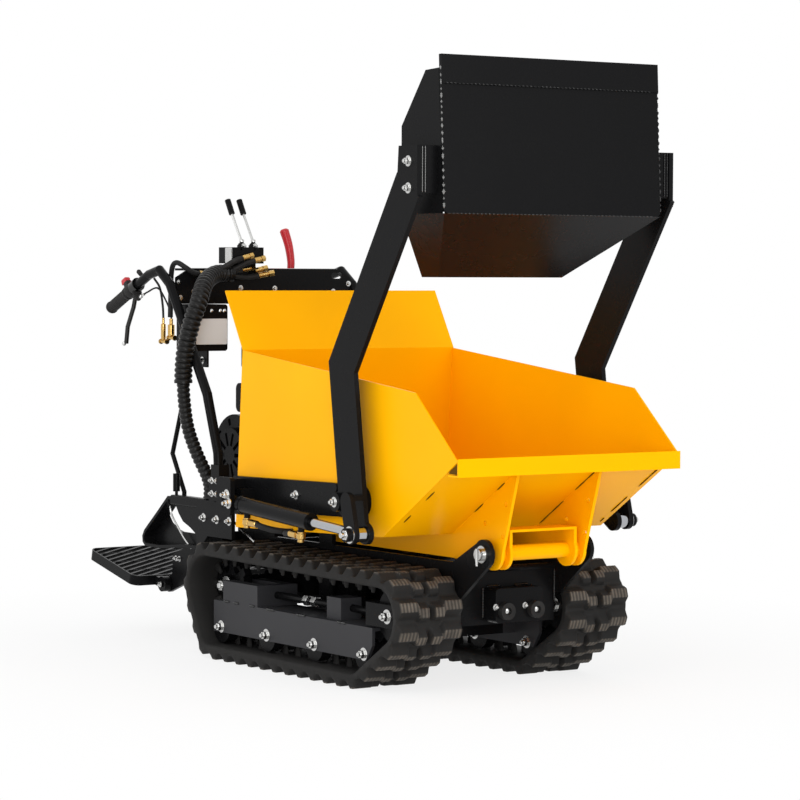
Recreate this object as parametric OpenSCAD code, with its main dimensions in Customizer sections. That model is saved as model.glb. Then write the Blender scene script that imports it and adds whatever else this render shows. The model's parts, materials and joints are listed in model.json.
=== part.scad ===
// Tracked site dumper with a tipping skip and a self-loading shovel.
// Millimetres, +X forward, +Y left, +Z up, ground at Z = 0.

/* [Tracks] */
// Width of one rubber track
track_w = 180; // [160:5:200]
// Distance between the centre planes of the tracks
track_gauge = 482; // [470:2:500]
// Height of the tread lugs
lug_h = 22; // [14:1:26]
// Thickness of the rubber belt
belt_t = 16; // [12:1:20]
// Pitch of the tread lugs
lug_pitch = 60; // [54:1:66]
// Length of a lug along the track
lug_len = 20; // [16:1:26]
// Step between a lug's outer and inner part
lug_step = 9; // [6:1:12]
// Height of the bottom roller axles
roller_z = 77; // [74:1:84]
// X of the rearmost bottom roller
roller_rear_x = -171; // [-180:1:-160]
// Distance between bottom rollers
roller_step = 217; // [205:1:222]
// X of the drive sprocket
sprocket_x = -187; // [-195:1:-180]
// Height of the drive sprocket
sprocket_z = 180; // [174:1:186]
// Radius of the track around the sprocket, to the lug tips
sprocket_reach = 112; // [108:1:116]
// X of the front idler
idler_x = 592; // [584:1:600]
// Height of the front idler
idler_z = 178; // [172:1:184]
// Radius of the track around the idler, to the lug tips
idler_reach = 103; // [98:1:108]

/* [Track frame] */
// Height of the top of the roller beam
beam_top = 145; // [140:1:150]
// Depth of the roller beam
beam_h = 78; // [66:1:84]
// Half width of the roller beam
beam_half_w = 58; // [54:1:64]
// Plate of the roller beam
beam_t = 8; // [6:1:10]

/* [Chassis] */
// Gap between a track and the chassis rail beside it
rail_gap = 4; // [3:0.5:8]
// Plate of the chassis rails
rail_t = 10; // [8:1:12]
// Top of the chassis rails
rail_top = 300; // [290:1:310]
// Bottom of the chassis rails
rail_bottom = 215; // [206:1:225]
// X of the rear end of the rails
rail_rear_x = -330; // [-350:5:-300]
// Height of the engine deck
deck_z = 380; // [370:1:390]
// Half width of the engine deck
deck_half_w = 285; // [275:1:290]
// X of the rear edge of the deck
deck_rear_x = -440; // [-460:5:-420]
// X of the front edge of the deck
deck_front_x = -130; // [-150:5:-120]
// Width and height of the bars along the deck's sides
deck_bar = 26; // [22:1:30]

/* [Skip] */
// X of the tipping hinge
hinge_x = 756; // [746:1:766]
// Height of the tipping hinge
hinge_z = 327; // [322:1:332]
// Half width of the skip
skip_half_w = 315; // [300:1:318]
// Sheet of the skip
skip_t = 4; // [3:0.5:6]
// X of the skip's lower rear edge
skip_rear_x = -60; // [-66:1:-50]
// Height of the floor at the rear
floor_rear_z = 338; // [334:1:342]
// Height of the floor at the front
floor_front_z = 362; // [354:1:366]
// X of the floor's front edge
floor_front_x = 597; // [585:1:605]
// X of the side wall's upper rear corner
wall_rear_x = -29; // [-40:1:-20]
// Height of the side wall at the rear
wall_rear_z = 776; // [750:1:800]
// X of the side wall's upper front corner
wall_front_x = 725; // [700:1:740]
// Height of the side wall at the front
wall_front_z = 698; // [680:1:710]
// X of the tipping lip
lip_x = 893; // [880:1:900]
// Height of the tipping lip
lip_z = 550; // [540:1:560]
// Depth of the folded lip
lip_h = 30; // [22:1:36]
// X of the upper edge of the rear flap
flap_x = -114; // [-130:1:-100]
// Height of the upper edge of the rear flap
flap_z = 920; // [900:1:940]

/* [Loader] */
// X of the arm pivot
pivot_x = 486; // [480:1:492]
// Height of the arm pivot
pivot_z = 438; // [434:1:442]
// Plate that carries the arm on the skip's side
mount_t = 12; // [10:1:14]
// Gap between that plate and the arm
arm_gap = 25; // [23:1:31]
// Plate of the arms
arm_t = 12; // [10:1:14]
// Width of the arms
arm_w = 103; // [96:1:110]
// X of the rod eye's pin
eye_x = 593; // [588:1:598]
// Height of the rod eye's pin
eye_z = 371; // [368:1:376]
// Gap between arm and outer cheek for the rod eye
eye_gap = 26; // [24:1:30]
// X of the lift cylinder's rear pin
lift_base_x = 32; // [24:1:40]
// Height of the lift cylinder's rear pin
lift_base_z = 408; // [404:1:412]
// Radius of the lift cylinder's barrel
lift_r = 21; // [18:0.5:22]
// Radius of the lift cylinder's rod
lift_rod_r = 11; // [9:0.5:13]
// Length from the rear pin to the end of the gland
lift_barrel_len = 356; // [340:1:358]

/* [Shovel] */
// Gap between the shovel's side and the arm
shovel_gap = 45; // [40:1:52]
// Plate of the shovel
shovel_t = 6; // [5:0.5:8]
// X of the cutting edge in the raised pose
edge_x = 808; // [800:1:816]
// Height of the cutting edge in the raised pose
edge_z = 1455; // [1435:1:1470]
// Height of the floor plate in the raised pose
floor_h = 354; // [345:1:362]
// Lead of the floor plate's fold before the cutting edge
fold_lead = 18; // [12:1:24]
// Length of the back plate towards the rear
back_run = 208; // [200:1:216]
// Drop of the back plate
back_drop = 143; // [136:1:150]
// Length of the top plate
rim_run = 69; // [60:1:78]
// Narrowing of the back plate on each side
back_taper = 130; // [120:1:142]
// Depth of the cheek from the floor plate
cheek_depth = 171; // [160:1:181]
// Width of the cutting strip
strip_w = 65; // [55:1:75]

/* [Tip cylinder] */
// X of the tip cylinder's pin on the chassis
tip_base_x = 22; // [10:1:30]
// Height of the tip cylinder's pin on the chassis
tip_base_z = 215; // [210:1:222]
// X of the tip cylinder's pin on the skip
tip_eye_x = 502; // [495:1:510]
// Height of the tip cylinder's pin on the skip
tip_eye_z = 312; // [306:1:316]
// Radius of the tip cylinder's barrel
tip_r = 28; // [24:1:30]
// Radius of the tip cylinder's rod
tip_rod_r = 15; // [12:1:18]

/* [Controls] */
// Distance of the handlebar tubes from the deck's outer edge
bar_inset = 5; // [0:1:12]
// Radius of the handlebar tube
bar_r = 12.5; // [10:0.5:14]
// X of the console plate
console_x = -448; // [-455:1:-440]
// Top of the console plate
console_top = 977; // [965:1:985]

/* [Platform] */
// X of the platform hinge
platform_hinge_x = -609; // [-615:1:-605]
// Height of the platform hinge
platform_hinge_z = 143; // [138:1:148]
// Half width of the platform
platform_half_w = 280; // [260:1:290]
// Length of the platform
platform_len = 256; // [240:1:280]
// Rise of the platform towards the rear, degrees
platform_rise = 12.4; // [8:0.2:16]

/* [Hidden] */
$fn = 48;
fit = 0.3;
sag = 0.1;
paint = "#ffb700";
frame_black = "#232325";
rubber_black = "#2b2a29";
zinc = "#c9ccce";
brass = "#c79a4a";
red = "#c8202a";

// Places that several pieces share
rail_half_w = (track_gauge - track_w) / 2 - rail_gap;
rail_inner = rail_half_w - rail_t;
bar_y = deck_half_w - bar_inset;
arm_y = skip_half_w + mount_t + arm_gap;
shovel_half_w = arm_y - shovel_gap;
back_half_w = shovel_half_w - back_taper;
fold_x = edge_x + fold_lead;
fold_z = edge_z - floor_h;
back_x = fold_x - back_run;
back_z = fold_z - back_drop;
rim_x = back_x - rim_run;
cheek_x = fold_x - cheek_depth;
pivot = [pivot_x, pivot_z];
eye = [eye_x, eye_z];
lift_base = [lift_base_x, lift_base_z];
hinge = [hinge_x, hinge_z];
platform_hinge = [platform_hinge_x, platform_hinge_z];
tip_base = [tip_base_x, tip_base_z];
tip_eye = [tip_eye_x, tip_eye_z];
arm_outer_y = arm_y + arm_t;
lift_y = arm_outer_y + eye_gap / 2;
cheek_y = arm_outer_y + eye_gap;
cheek_t = 12;
lift_pin_r = 10;
hinge_pin_r = 14;
tip_pin_r = 12;
platform_pin_r = 8;

// A track runs round two rollers, the idler and the sprocket
roller_count = 4;
roller_front_x = roller_rear_x + (roller_count - 1) * roller_step;
rubber_t = lug_h + belt_t;
lug_foot = 3;
belt_sag = 0.3;
lug_gap = 10;
lug_inner_w = 26;
lug_margin = 5;
track_mid = track_gauge / 2;
roller_r = roller_z - rubber_t - fit;
idler_r = idler_reach - rubber_t - fit;
sprocket_r = sprocket_reach - rubber_t - fit;
sprocket_half_t = 10;
axle_r = 24;
wheels = [
    [roller_rear_x, roller_z, roller_z],
    [roller_front_x, roller_z, roller_z],
    [idler_x, idler_z, idler_reach],
    [sprocket_x, sprocket_z, sprocket_reach]
];
wheel_count = len(wheels);
function wheel(i) = wheels[(i + wheel_count) % wheel_count];
function centre(i) = [wheel(i)[0], wheel(i)[1]];
function wheel_r(i) = wheel(i)[2] - lug_h;
function heading(d) = atan2(d[1], d[0]);
function unit(a) = [cos(a), sin(a)];
function normal_angle(i) =
    heading(centre(i + 1) - centre(i))
    - acos((wheel_r(i) - wheel_r(i + 1)) / norm(centre(i + 1) - centre(i)));
function leave(i, k) = centre(i) + (wheel_r(i) + k) * unit(normal_angle(i));
function arrive(i, k) = centre(i + 1) + (wheel_r(i + 1) + k) * unit(normal_angle(i));
function wrap(a) = a < 0 ? wrap(a + 360) : a >= 360 ? wrap(a - 360) : a;
function arc_len(i) = wheel_r(i) * wrap(normal_angle(i) - normal_angle(i - 1)) * PI / 180;
function run_len(i) = norm(arrive(i, 0) - leave(i, 0));
loop_len = [for (i = [0:wheel_count - 1]) arc_len(i) + run_len(i)] * [1, 1, 1, 1];
lug_count = round(loop_len / lug_pitch);
// Place on the belt at a distance along the loop: x, z and the outward angle
function belt_at(s, i = 0) =
    s < arc_len(i)
        ? let (a = normal_angle(i - 1) + s / wheel_r(i) * 180 / PI, p = centre(i) + wheel_r(i) * unit(a))
            [p[0], p[1], a]
        : s < arc_len(i) + run_len(i)
            ? let (p = leave(i, 0) + (s - arc_len(i)) * unit(normal_angle(i) + 90)) [p[0], p[1],
                normal_angle(i)]
            : belt_at(s - arc_len(i) - run_len(i), i + 1);

// Beam that carries the rollers, and what stands on it
beam_rear_x = roller_rear_x - 22;
beam_front_x = roller_front_x + 50;
block_front_x = roller_rear_x + 188;
tension_z = idler_z - 6;
tension_r = 9;
tube_xs = [60, 380];
tube_w = 50;

// Floor and front panel of the skip, as points of the outer surface
floor_rear = [skip_rear_x, floor_rear_z];
floor_front = [floor_front_x, floor_front_z];
wall_rear = [wall_rear_x, wall_rear_z];
wall_front = [wall_front_x, wall_front_z];
lip = [lip_x, lip_z];
flap = [flap_x, flap_z];
function left_of(a, b) = let (d = (b - a) / norm(b - a)) [-d[1], d[0]];
function floor_z_at(x) =
    floor_rear_z + (x - skip_rear_x) / (floor_front_x - skip_rear_x) * (floor_front_z - floor_rear_z);
front_slope = heading(lip - floor_front);
// A path moved to its left, with mitred corners
function beside(path, t) = let (last = len(path) - 1) [for (i = [0:last])
    i == 0 ? path[0] + t * left_of(path[0], path[1])
    : i == last ? path[last] + t * left_of(path[last - 1], path[last])
    : let (a = left_of(path[i - 1], path[i]), b = left_of(path[i],
        path[i + 1])) path[i] + t * (a + b) / (1 + a * b)];
// Floor, front panel and folded lip in one line, and the same line on the inside of the sheet
lip_back = lip_h / tan(front_slope) - skip_t - 8;
panel_path = [floor_rear, floor_front, lip, lip - [0, lip_h], lip - [lip_back, lip_h]];
panel_inside = beside(panel_path, skip_t);
function reversed(v) = [for (i = [0:len(v) - 1]) v[len(v) - 1 - i]];

// Middle line of an arm, from beside the pivot over the bend to the head
arm_foot = [pivot_x + 48, pivot_z + 28];
arm_bend = [pivot_x + 8, pivot_z + 312];
arm_head = [pivot_x + 279, pivot_z + 727];
head_rear_x = arm_head[0] - 37;
head_front_x = arm_head[0] + 37;
head_low_z = arm_head[1] - 20;
head_top_z = arm_head[1] + 87;

// Engine on the deck
engine_x = -300;
crank_z = deck_z + 120;
case_half_w = 105;
case_half_x = 118;
case_top = crank_z + 70;
fin_top = case_top + 116;
wide_of_fins = 84;

// A profile drawn in X and Z, carried from y0 to y1
module slab(y0, y1) {
    translate([0, y1, 0]) rotate([90, 0, 0]) linear_extrude(y1 - y0) children();
}
// A profile drawn in Y and Z, carried from x0 to x1
module cross_slab(x0, x1) {
    translate([x0, 0, 0]) rotate([90, 0, 90]) linear_extrude(x1 - x0) children();
}
module box(x0, x1, y0, y1, z0, z1) {
    translate([x0, y0, z0]) cube([x1 - x0, y1 - y0, z1 - z0]);
}
// A round bar along Y
module pin(p, r, y0, y1) {
    slab(y0, y1) translate(p) circle(r);
}
// A round bar between two points
module bar(a, b, r) {
    d = b - a;
    translate(a) rotate([0, acos(d[2] / norm(d)), atan2(d[1], d[0])]) cylinder(r = r, h = norm(d));
}
module bent_bar(points, r) {
    for (i = [0:len(points) - 2]) bar(points[i], points[i + 1], r);
    for (i = [1:len(points) - 2]) translate(points[i]) sphere(r + 0.2);
}
module both_sides() {
    children();
    mirror([0, 1, 0]) children();
}
// A flat bar with round ends between two points
module link_2d(a, b, r) {
    n = left_of(a, b) * (r - sag);
    polygon([a - n, b - n, b + n, a + n]);
    translate(a) circle(r);
    translate(b) circle(r);
}
// A rectangle with round corners
module rounded_2d(x0, x1, z0, z1, r) {
    polygon([[x0 + sag, z0 + r], [x1 - sag, z0 + r], [x1 - sag, z1 - r], [x0 + sag, z1 - r]]);
    polygon([[x0 + r, z0 + sag], [x1 - r, z0 + sag], [x1 - r, z1 - sag], [x0 + r, z1 - sag]]);
    for (x = [x0 + r, x1 - r]) for (z = [z0 + r, z1 - r]) translate([x, z]) circle(r);
}
// A sheet folded along a path, with its thickness to the left
module sheet_2d(path, t) {
    polygon(concat(path, reversed(beside(path, t))));
}
// A flat bar of one width along a path
module strip_2d(path, w) {
    polygon(concat(beside(path, w / 2), reversed(beside(path, -w / 2))));
}

module loop_2d(k) {
    polygon([for (i = [0:wheel_count - 1]) each [leave(i, k - belt_sag), arrive(i, k - belt_sag)]]);
    for (i = [0:wheel_count - 1]) translate(centre(i)) circle(wheel_r(i) + k);
}
// One link's two lugs: each has a straight outer part and an inner part set off by a step
module lug() {
    side = track_w / 2 - lug_margin;
    shoulder = lug_gap / 2 + lug_inner_w;
    half = lug_len / 2;
    both_sides() translate([0, 0, -lug_foot]) linear_extrude(lug_h + lug_foot) polygon([
        [half, side], [-half, side], [-half, shoulder],
        [lug_step - half, lug_gap / 2], [lug_step + half, lug_gap / 2], [half, shoulder]
    ]);
}
module track() {
    color(rubber_black) {
        slab(track_mid - track_w / 2, track_mid + track_w / 2) difference() {
            loop_2d(0);
            loop_2d(-belt_t);
        }
        for (k = [0:lug_count - 1]) {
            place = belt_at((k + 0.5) * loop_len / lug_count);
            translate([place[0], track_mid, place[1]]) rotate([0, 90 - place[2], 0]) lug();
        }
    }
}
module track_left() {
    track();
}
module track_right() {
    mirror([0, 1, 0]) track();
}
// Channel over the rollers, with the block before the sprocket and the guide of the tension rod
module track_frames() {
    low = beam_top - beam_h;
    nose = [24, 37];
    block_len = 164;
    block_h = 52;
    block_w = 32;
    web = 30;
    guide_x = roller_rear_x + 468;
    guide_len = 62;
    color(frame_black) both_sides() {
        difference() {
            slab(track_mid - beam_half_w, track_mid + beam_half_w) polygon([
                [beam_rear_x, low], [beam_front_x - nose[0], low], [beam_front_x, low + nose[1]],
                [beam_front_x, beam_top], [beam_rear_x, beam_top]
            ]);
            box(beam_rear_x - 1, beam_front_x + 1, track_mid - beam_half_w + beam_t,
                track_mid + beam_half_w - beam_t, low - 1, beam_top - beam_t);
            box(beam_rear_x - 1, sprocket_x + sprocket_r + 8, track_mid - sprocket_half_t - 10,
                track_mid + sprocket_half_t + 10, beam_top - beam_t - 1, beam_top + 1);
        }
        for (s = [-1, 1]) {
            face = track_mid + s * (beam_half_w - block_w / 2);
            box(block_front_x - block_len, block_front_x, face - block_w / 2, face + block_w / 2,
                beam_top, beam_top + block_h);
        }
        box(block_front_x - web, block_front_x, track_mid - beam_half_w + block_w,
            track_mid + beam_half_w - block_w, beam_top, beam_top + block_h);
        difference() {
            box(guide_x, guide_x + guide_len, track_mid - 24, track_mid + 34, beam_top, beam_top + block_h);
            bar([guide_x - 1, track_mid, tension_z], [guide_x + guide_len + 1, track_mid, tension_z],
                tension_r + fit);
        }
        for (x = tube_xs)
            box(x, x + tube_w, rail_half_w, track_mid - beam_half_w, beam_top - tube_w, beam_top);
    }
}
// A profile on each side of a track's middle plane, from a gap to a face
module wheel_pair(gap, face) {
    for (s = [-1, 1]) {
        mid = track_mid + s * (face + gap) / 2;
        half = (face - gap) / 2;
        slab(mid - half, mid + half) children();
    }
}
module rollers() {
    face = beam_half_w - beam_t - 2;
    gap = sprocket_half_t + 10;
    hub_r = 14;
    color(frame_black) both_sides() for (i = [0:roller_count - 1]) {
        p = [roller_rear_x + i * roller_step, roller_z];
        wheel_pair(gap, face) translate(p) difference() {
            circle(roller_r);
            circle(hub_r - 1);
        }
        pin(p, hub_r, track_mid - beam_half_w + beam_t, track_mid + beam_half_w - beam_t);
    }
}
module sprockets() {
    teeth = 11;
    tooth_w = 20;
    tooth_h = 15;
    rim_r = sprocket_r - 12;
    windows = 6;
    color(frame_black) both_sides() slab(track_mid - sprocket_half_t, track_mid + sprocket_half_t)
        translate([sprocket_x, sprocket_z]) difference() {
            union() {
                circle(rim_r);
                for (i = [0:teeth - 1]) rotate(i * 360 / teeth)
                    translate([rim_r - 4, -tooth_w / 2]) square([tooth_h, tooth_w]);
            }
            circle(axle_r);
            for (i = [0:windows - 1]) rotate(i * 360 / windows) polygon([
                [rim_r - 26, -7], [rim_r - 9, -16], [rim_r - 9, 16], [rim_r - 26, 7]
            ]);
        }
}
module idlers() {
    p = [idler_x, idler_z];
    fork_x = idler_x - idler_r - 8;
    fork_front = 50;
    fork_half_h = 27;
    fork_y = beam_half_w - 4;
    fork_t = 12;
    web = 14;
    face = 40;
    gap = 12;
    tube_len = 44;
    tube_r = 16;
    hub_r = 16;
    color(frame_black) both_sides() {
        wheel_pair(gap, face) translate(p) circle(idler_r);
        pin(p, hub_r, track_mid - fork_y - 2, track_mid + fork_y + 2);
        for (s = [-1, 1]) box(fork_x, idler_x + fork_front, track_mid + s * fork_y - fork_t / 2,
                              track_mid + s * fork_y + fork_t / 2, idler_z - fork_half_h,
                                  idler_z + fork_half_h);
        box(fork_x - web, fork_x, track_mid - fork_y - fork_t / 2, track_mid + fork_y + fork_t / 2,
            idler_z - fork_half_h, idler_z + fork_half_h);
        bar([fork_x - web - tube_len, track_mid, tension_z], [fork_x - web, track_mid, tension_z], tube_r);
        bar([block_front_x, track_mid, tension_z], [fork_x - web, track_mid, tension_z], tension_r);
    }
}
// Closed transmission between the rails, with its half shafts to the sprockets
module gearbox() {
    case_w = 95;
    low = sprocket_z - 50;
    high = sprocket_z + 70;
    tube_r = 36;
    color(frame_black) {
        slab(-case_w, case_w) rounded_2d(sprocket_x - 70, sprocket_x + 90, low, high, 24);
        both_sides() {
            pin([sprocket_x, sprocket_z], tube_r, case_w, rail_inner);
            pin([sprocket_x, sprocket_z], axle_r - fit, rail_inner, track_mid + sprocket_half_t + 14);
        }
        box(sprocket_x - 46, sprocket_x + 60, -rail_inner, rail_inner, high - 20, high - 2);
    }
}

// Side plates of the chassis with the ears that carry the hinge, and the brackets of the platform
hinge_ear_r = 34;
rail_front_x = hinge_x - 90;
front_plate_x = hinge_x - 120;
front_plate_t = 12;
bracket_y = 183;
bracket_t = 10;
bracket_r = 22;
rear_plate_t = 10;
module frame_rails() {
    pad_x = 60;
    pad_len = 60;
    drop = 62;
    color(frame_black) both_sides() {
        slab(rail_inner, rail_half_w) difference() {
            union() {
                polygon([
                    [rail_rear_x, rail_bottom], [rail_front_x, rail_bottom],
                        hinge + (hinge_ear_r - sag) * unit(-45),
                    hinge + (hinge_ear_r - sag) * unit(135), [front_plate_x, rail_top], [rail_rear_x,
                        rail_top]
                ]);
                translate(hinge) circle(hinge_ear_r);
                polygon([
                    [pad_x, rail_top - 1], [pad_x + pad_len, rail_top - 1],
                    [pad_x + pad_len, floor_z_at(pad_x) - fit], [pad_x, floor_z_at(pad_x) - fit]
                ]);
            }
            translate(hinge) circle(hinge_pin_r);
        }
        slab(bracket_y, bracket_y + bracket_t) {
            polygon([
                [rail_rear_x - rear_plate_t, rail_top], [rail_rear_x - rear_plate_t, rail_bottom],
                platform_hinge + (bracket_r - sag) * unit(-70),
                platform_hinge + (bracket_r - sag) * unit(150),
                platform_hinge + [18, 28], platform_hinge + [24, drop + 20]
            ]);
            translate(platform_hinge) circle(bracket_r);
        }
        pin(platform_hinge, platform_pin_r, bracket_y + bracket_t - 1, bracket_y + bracket_t + 26);
    }
}
// Tubes to the track frames, plates between the rails and the seat of the tip cylinder
module cross_members() {
    front_low = 150;
    front_high = rail_top - 22;
    roll_r = 8;
    mid_x = sprocket_x + 100;
    seat_y = 44;
    seat_t = 12;
    seat_half = 32;
    spine_half_w = 50;
    color(frame_black) {
        box(front_plate_x, front_plate_x + front_plate_t, -rail_inner, rail_inner, front_low, front_high);
        pin([front_plate_x + front_plate_t / 2, front_high], roll_r, -rail_inner, rail_inner);
        box(rail_rear_x - rear_plate_t, rail_rear_x, -bracket_y - bracket_t, bracket_y + bracket_t,
            rail_bottom, rail_top);
        box(mid_x, mid_x + rail_t, -rail_inner, rail_inner, rail_bottom, rail_top);
        for (x = tube_xs) {
            box(x, x + tube_w, -rail_half_w, rail_half_w, beam_top - tube_w, beam_top);
            both_sides() box(x, x + tube_w, rail_inner, rail_half_w, beam_top - 1, rail_bottom);
        }
        for (s = [-1, 1]) slab(s * seat_y - seat_t / 2, s * seat_y + seat_t / 2) difference() {
            union() {
                polygon([
                    [tip_base_x - seat_half, beam_top], [tip_base_x + seat_half, beam_top],
                    [tip_base_x + seat_half - 4, tip_base_z], [tip_base_x - seat_half + 4, tip_base_z]
                ]);
                translate(tip_base) circle(seat_half - 4 + sag);
            }
            translate(tip_base) circle(tip_pin_r + fit);
        }
        box(mid_x, tube_xs[0] + tube_w, -spine_half_w, spine_half_w, beam_top - 1, beam_top + 12);
        box(mid_x, mid_x + rail_t, -spine_half_w, spine_half_w, beam_top, rail_bottom + 1);
    }
}
rib_t = 8;
rib_y = rail_inner - rib_t - 16;
inner_ear_y = rib_y - 25;
module hinge_pins() {
    washer_r = 20;
    head_len = 16;
    color(zinc) both_sides() {
        pin(hinge, hinge_pin_r - fit, inner_ear_y + fit, rail_half_w + head_len);
        pin(hinge, washer_r, rail_half_w + fit, rail_half_w + 5);
    }
}
// Box before the front plate that carries the buffers
box_front_x = front_plate_x + front_plate_t + 50;
buffer_z = 186;
module front_box() {
    half_w = 68;
    low = 158;
    high = 238;
    t = 6;
    back = front_plate_x + front_plate_t;
    color(frame_black) difference() {
        cross_slab(back, box_front_x) rounded_2d(-half_w, half_w, low, high, 10);
        cross_slab(back - 1, box_front_x - t) rounded_2d(-half_w + t, half_w - t, low + t, high - t, 6);
    }
}
module front_buffers() {
    buffer_y = 42;
    buffer_r = 20;
    buffer_h = 16;
    dish_r = 9;
    color(rubber_black) for (s = [-1, 1]) translate([box_front_x, s * buffer_y, buffer_z]) rotate([0,
        90, 0])
        difference() {
            cylinder(r = buffer_r, h = buffer_h);
            translate([0, 0, buffer_h - 5]) cylinder(r = dish_r, h = 6);
        }
}

// Deck plate between two side bars, with skirts beside the tracks and a knob lever at the rear
skirt_rear_x = -305;
module deck() {
    plate_t = 8;
    skirt_t = 10;
    bar_inner = deck_half_w - deck_bar;
    track_clear = 300;
    skirt_low = 256;
    knob_x = deck_rear_x + 10;
    knob_z = deck_z + 68;
    half = deck_bar / 2;
    color(frame_black) {
        box(deck_rear_x, deck_front_x, -bar_inner - 1, bar_inner + 1, deck_z - plate_t, deck_z);
        both_sides() {
            cross_slab(deck_rear_x, deck_front_x) rounded_2d(bar_inner, deck_half_w, deck_z - half,
                deck_z + half, 6);
            slab(deck_half_w - skirt_t, deck_half_w) polygon([
                [skirt_rear_x, deck_z], [skirt_rear_x, skirt_low], [skirt_rear_x + 8, skirt_low],
                [skirt_rear_x + 55, track_clear], [deck_front_x, track_clear], [deck_front_x, deck_z]
            ]);
            box(rail_rear_x, deck_front_x - 20, rail_inner, rail_half_w, rail_top, deck_z - plate_t);
        }
        bar([knob_x, -bar_inner - half, deck_z], [knob_x, -bar_inner - half, knob_z - 44], 4);
        bar([knob_x, -bar_inner - half, knob_z - 46], [knob_x, -bar_inner - half, knob_z], 9);
    }
}
// Bent strap behind each skirt, and the bent rod that stands beside the engine
module rear_guards() {
    t = 8;
    strap_w = 40;
    rod_r = 6;
    rod_y = 30 - bar_y;
    color(frame_black) {
        both_sides() slab(deck_half_w - strap_w, deck_half_w) sheet_2d([
            [deck_rear_x - fit, deck_z + 9], [deck_rear_x - 14, deck_z + 9], [-504, 349], [-578, 292],
                [-588, 276],
            [-586, 260], [-572, 250], [-494, 250], [-370, 262], [skirt_rear_x - fit, 262]
        ], t);
        bent_bar([
            [deck_rear_x + 12, rod_y, deck_z], [deck_rear_x + 12, rod_y, deck_z + 20], [-489, rod_y, 496],
            [-451, rod_y, 592], [-425, rod_y + 8, 700], [-415, rod_y + 12, box_low - 30], [-415,
                rod_y + 12, box_low - fit]
        ], rod_r);
    }
}
// Crankcase on its foot, the finned cylinder over it and the shaft end
module engine_block() {
    foot_h = 16;
    core = 34;
    fins = 7;
    slot = (fin_top - case_top) / fins;
    wide = wide_of_fins;
    shaft_r = 14;
    color(frame_black) {
        box(engine_x - case_half_x - 12, engine_x + case_half_x + 12, -case_half_w - 8,
            case_half_w + 8, deck_z, deck_z + foot_h);
        slab(-case_half_w, case_half_w) rounded_2d(engine_x - case_half_x, engine_x + case_half_x,
                                                   deck_z + foot_h - 8, case_top, 30);
        box(engine_x - core, engine_x + core, -core - 20, core + 20, case_top - 1, fin_top + 4);
        for (i = [0:fins - 1]) slab(-wide, wide)
            rounded_2d(engine_x - wide, engine_x + wide, case_top + (i + 0.4) * slot,
                case_top + (i + 0.8) * slot, 2.5);
        pin([engine_x, crank_z], shaft_r, case_half_w, case_half_w + 45);
    }
}
tank_low = fin_top + 4;
tank_h = 124;
module fuel_tank() {
    half_x = 130;
    near_y = -78;
    far_y = 150;
    cap_r = 32;
    color(frame_black) {
        intersection() {
            slab(near_y, far_y) rounded_2d(engine_x - half_x, engine_x + half_x, tank_low,
                tank_low + tank_h, 38);
            cross_slab(engine_x - half_x, engine_x + half_x)
                rounded_2d(near_y, far_y, tank_low, tank_low + tank_h, 38);
        }
        translate([engine_x + 20, 60, tank_low + tank_h - 4]) cylinder(r = cap_r, h = 20);
        translate([engine_x + 20, 60, tank_low + tank_h + 15]) cylinder(r = cap_r - 8, h = 8);
    }
}
// Starter cover with its ring of air slots and the grip's boss
module recoil_cover() {
    cover_r = 104;
    step_r = 70;
    slots = 10;
    depth = 70;
    color(frame_black) translate([engine_x, -case_half_w, crank_z]) rotate([90, 0, 0]) difference() {
        union() {
            cylinder(r = cover_r, h = depth);
            translate([0, 0, depth - 1]) cylinder(r = step_r, h = 17);
        }
        for (i = [0:slots - 1]) rotate([0, 0, i * 360 / slots]) translate([step_r + 8, -6, depth - 12])
            cube([18, 12, 20]);
        for (i = [0:slots - 1]) rotate([0, 0, i * 360 / slots]) translate([24, -5,
            depth + 8]) cube([34, 10, 20]);
    }
}
module muffler() {
    low = case_top + 14;
    far = case_half_w + 110;
    color(frame_black) {
        difference() {
            slab(wide_of_fins + fit, far) rounded_2d(engine_x - 105, engine_x + 85, low, fin_top - 6, 26);
            for (i = [0:5]) box(engine_x - 84 + i * 26, engine_x - 72 + i * 26, far - 8, far + 1,
                low + 24, fin_top - 30);
        }
        bar([engine_x - 100, far - 50, low + 40], [engine_x - 150, far - 50, low + 40], 14);
    }
}
module air_cleaner() {
    low = case_top + 42;
    color(frame_black) slab(-case_half_w - 85, -wide_of_fins - fit)
        rounded_2d(engine_x + 30, engine_x + 150, low, fin_top, 16);
}
bar_path = [
    [-200, 440], [-206, 513], [-260, 659], [-450, 936], [-505, 972], [-560, 960], [-770, 869]
];
grip_dir = unit(heading(bar_path[6] - bar_path[5]));
function bar_point(p) = [p[0], bar_y, p[1]];
function bar_at(d) = bar_point(bar_path[6] - d * grip_dir);
module handlebars() {
    foot_half = 28;
    foot_w = 16;
    foot_top = 454;
    socket_top = 484;
    x = bar_path[0][0] + 4;
    color(frame_black) both_sides() {
        bent_bar([for (p = bar_path) bar_point(p)], bar_r);
        box(x - foot_half, x + foot_half, bar_y - foot_w, bar_y + foot_w, deck_z + deck_bar / 2, foot_top);
        box(x - foot_half + 8, x + foot_half - 8, bar_y - foot_w + 1, bar_y + foot_w - 1, foot_top - 1,
            socket_top);
    }
}
module grips() {
    grip_len = 112;
    grip_r = 16;
    rings = 7;
    color(rubber_black) both_sides() difference() {
        union() {
            bar(bar_at(grip_len), bar_at(-4), grip_r);
            bar(bar_at(grip_len), bar_at(grip_len - 6), grip_r + 5);
            for (i = [0:rings - 1]) bar(bar_at(12 + i * 13), bar_at(5 + i * 13), grip_r + 1.2);
        }
        bar(bar_at(grip_len + 1), bar_at(0), bar_r + fit);
    }
}
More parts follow.
